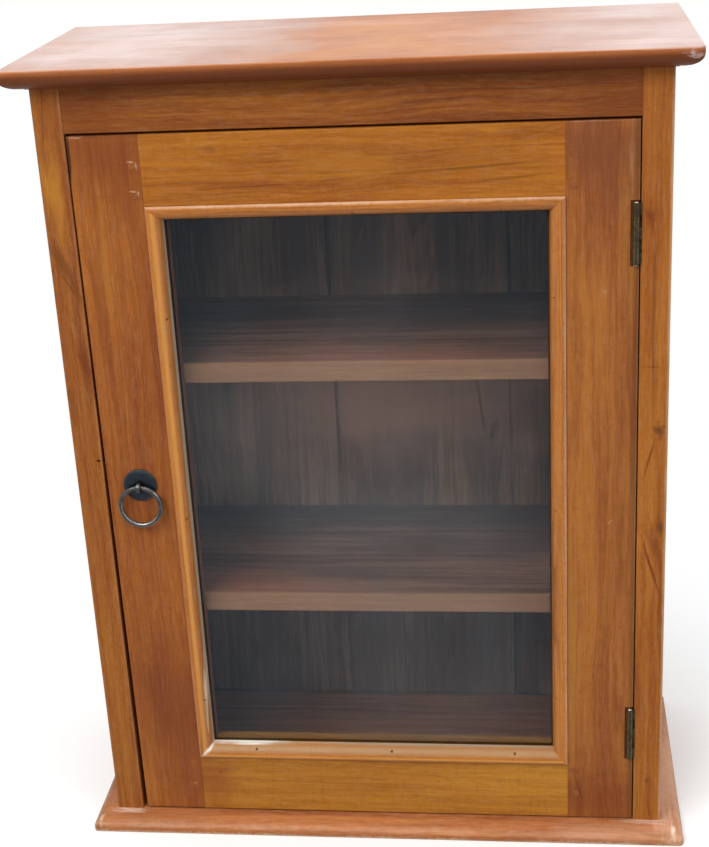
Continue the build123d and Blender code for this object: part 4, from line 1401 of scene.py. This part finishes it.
@dataclass
class Studio:
    """A pale floor that fades into a white background, soft lamps and a pale sky."""

    floor_half: float = 8.0
    fade_start: float = 0.20
    fade_end: float = 0.55
    floor_colour: Colour = (0.92, 0.92, 0.92)
    floor_bounce: Colour = (0.36, 0.36, 0.36)
    sky_low: float = 0.38
    sky_high: float = 0.95
    lamps: tuple[Lamp, ...] = (
        Lamp("key_box", (-1.2, -2.2, 2.7), (0.0, -0.1, 0.35), 1.8, 1.4, 66.0),
        Lamp("top_box", (0.1, -0.2, 2.7), (0.0, 0.0, 0.3), 2.2, 1.6, 12.0),
        Lamp("fill_box", (2.2, -1.9, 1.6), (0.0, 0.0, 0.35), 1.6, 1.6, 14.0),
    )

    def build(self) -> None:
        """Make the floor, the sky and the lamps."""
        self.build_floor()
        self.build_sky()
        for lamp in self.lamps:
            lamp.hang()

    def seen(self, graph: Graph) -> Socket:
        """Tell the rays by which the background is seen, straight or mirrored.

        Args:
            graph: the tree of the floor or the sky.

        Returns:
            The socket that is 1 for those rays.
        """
        path = graph.node("LightPath").outputs
        seen = graph.math("MAXIMUM", path["Is Camera Ray"], path["Is Glossy Ray"])
        return graph.math("MAXIMUM", seen, path["Is Transmission Ray"])

    def build_floor(self) -> None:
        """Make the floor, which keeps the shadow near the cabinet and fades to white."""
        half = self.floor_half
        mesh = bpy.data.meshes.new("studio_floor")
        mesh.from_pydata(
            [(-half, -half, 0.0), (half, -half, 0.0), (half, half, 0.0), (-half, half, 0.0)],
            [], [(0, 1, 2, 3)])
        floor = bpy.data.objects.new("studio_floor", mesh)
        bpy.context.scene.collection.objects.link(floor)
        material = bpy.data.materials.new("studio_floor")
        graph = Graph.of(material)
        place = graph.node("TexCoord").outputs["Object"]
        tone = graph.blend(self.seen(graph), self.floor_bounce, self.floor_colour)
        matt = graph.node("BsdfDiffuse", {"Color": tone}).outputs[0]
        white = graph.node("Emission", {"Color": WHITE, "Strength": 1.0}).outputs[0]
        fade = graph.remap(graph.length(place), self.fade_start, self.fade_end)
        fade = graph.times(fade, self.seen(graph))
        shader = graph.node("MixShader", {0: fade, 1: matt, 2: white}).outputs[0]
        graph.feed(graph.node("OutputMaterial").inputs["Surface"], shader)
        mesh.materials.append(material)
        log.info("studio_floor: %.0f m square", 2 * half)

    def build_sky(self) -> None:
        """Make the sky: white where it is seen, and softly brighter overhead as light."""
        world = bpy.data.worlds.new("studio_sky")
        bpy.context.scene.world = world
        graph = Graph.of(world)
        rise = graph.separate(graph.node("TexCoord").outputs["Generated"])[2]
        level = graph.remap(rise, -0.1, 0.9, self.sky_low, self.sky_high)
        light, white = (
            graph.node("Background", {"Color": WHITE, "Strength": strength}).outputs[0]
            for strength in (level, 1.0)
        )
        shader = graph.node("MixShader", {0: self.seen(graph), 1: light, 2: white})
        graph.feed(graph.node("OutputWorld").inputs["Surface"], shader.outputs[0])


@dataclass
class ViewCamera:
    """The camera: where it stands, its yaw, pitch and roll, and its picture centre."""

    place: Point = (0.14576, -1.30052, 0.89720)
    yaw: float = 0.1358
    pitch: float = -0.3676
    roll: float = 0.0593
    focal_pixels: float = 1572.91
    centre: tuple[float, float] = (338.28, 391.86)
    sensor: float = 36.0
    nearest: float = 0.01

    def build(self) -> None:
        """Make the camera and set it as the scene's."""
        ahead = Vector((
            -math.sin(self.yaw) * math.cos(self.pitch),
            math.cos(self.yaw) * math.cos(self.pitch),
            math.sin(self.pitch),
        ))
        right = ahead.cross(Vector((0.0, 0.0, 1.0))).normalized()
        down = ahead.cross(right)
        cos, sin = math.cos(self.roll), math.sin(self.roll)
        right, down = cos * right + sin * down, cos * down - sin * right
        turn = Matrix((right, -down, -ahead)).transposed()
        data = bpy.data.cameras.new("view_camera")
        data.sensor_width = self.sensor
        data.lens = self.focal_pixels / FRAME_HEIGHT * self.sensor
        data.shift_x = (FRAME_WIDTH / 2 - self.centre[0]) / FRAME_HEIGHT
        data.shift_y = (self.centre[1] - FRAME_HEIGHT / 2) / FRAME_HEIGHT
        data.clip_start = self.nearest
        camera = bpy.data.objects.new("view_camera", data)
        camera.matrix_world = Matrix.Translation(self.place) @ turn.to_4x4()
        bpy.context.scene.collection.objects.link(camera)
        bpy.context.scene.camera = camera
        log.info("view_camera: %.1f mm", data.lens)


def write_sizes() -> None:
    """Update the view layer."""
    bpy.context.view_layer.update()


def main() -> None:
    """Build the studio and the camera, and dress the cabinet."""
    logging.basicConfig(level=logging.INFO, format="%(message)s")
    bpy.context.scene.view_settings.view_transform = "Standard"
    ViewCamera().build()
    Studio().build()
    Carcass().dress()
    Door().dress()
    Hardware().dress()
    write_sizes()


if __name__ == "__main__":
    main()
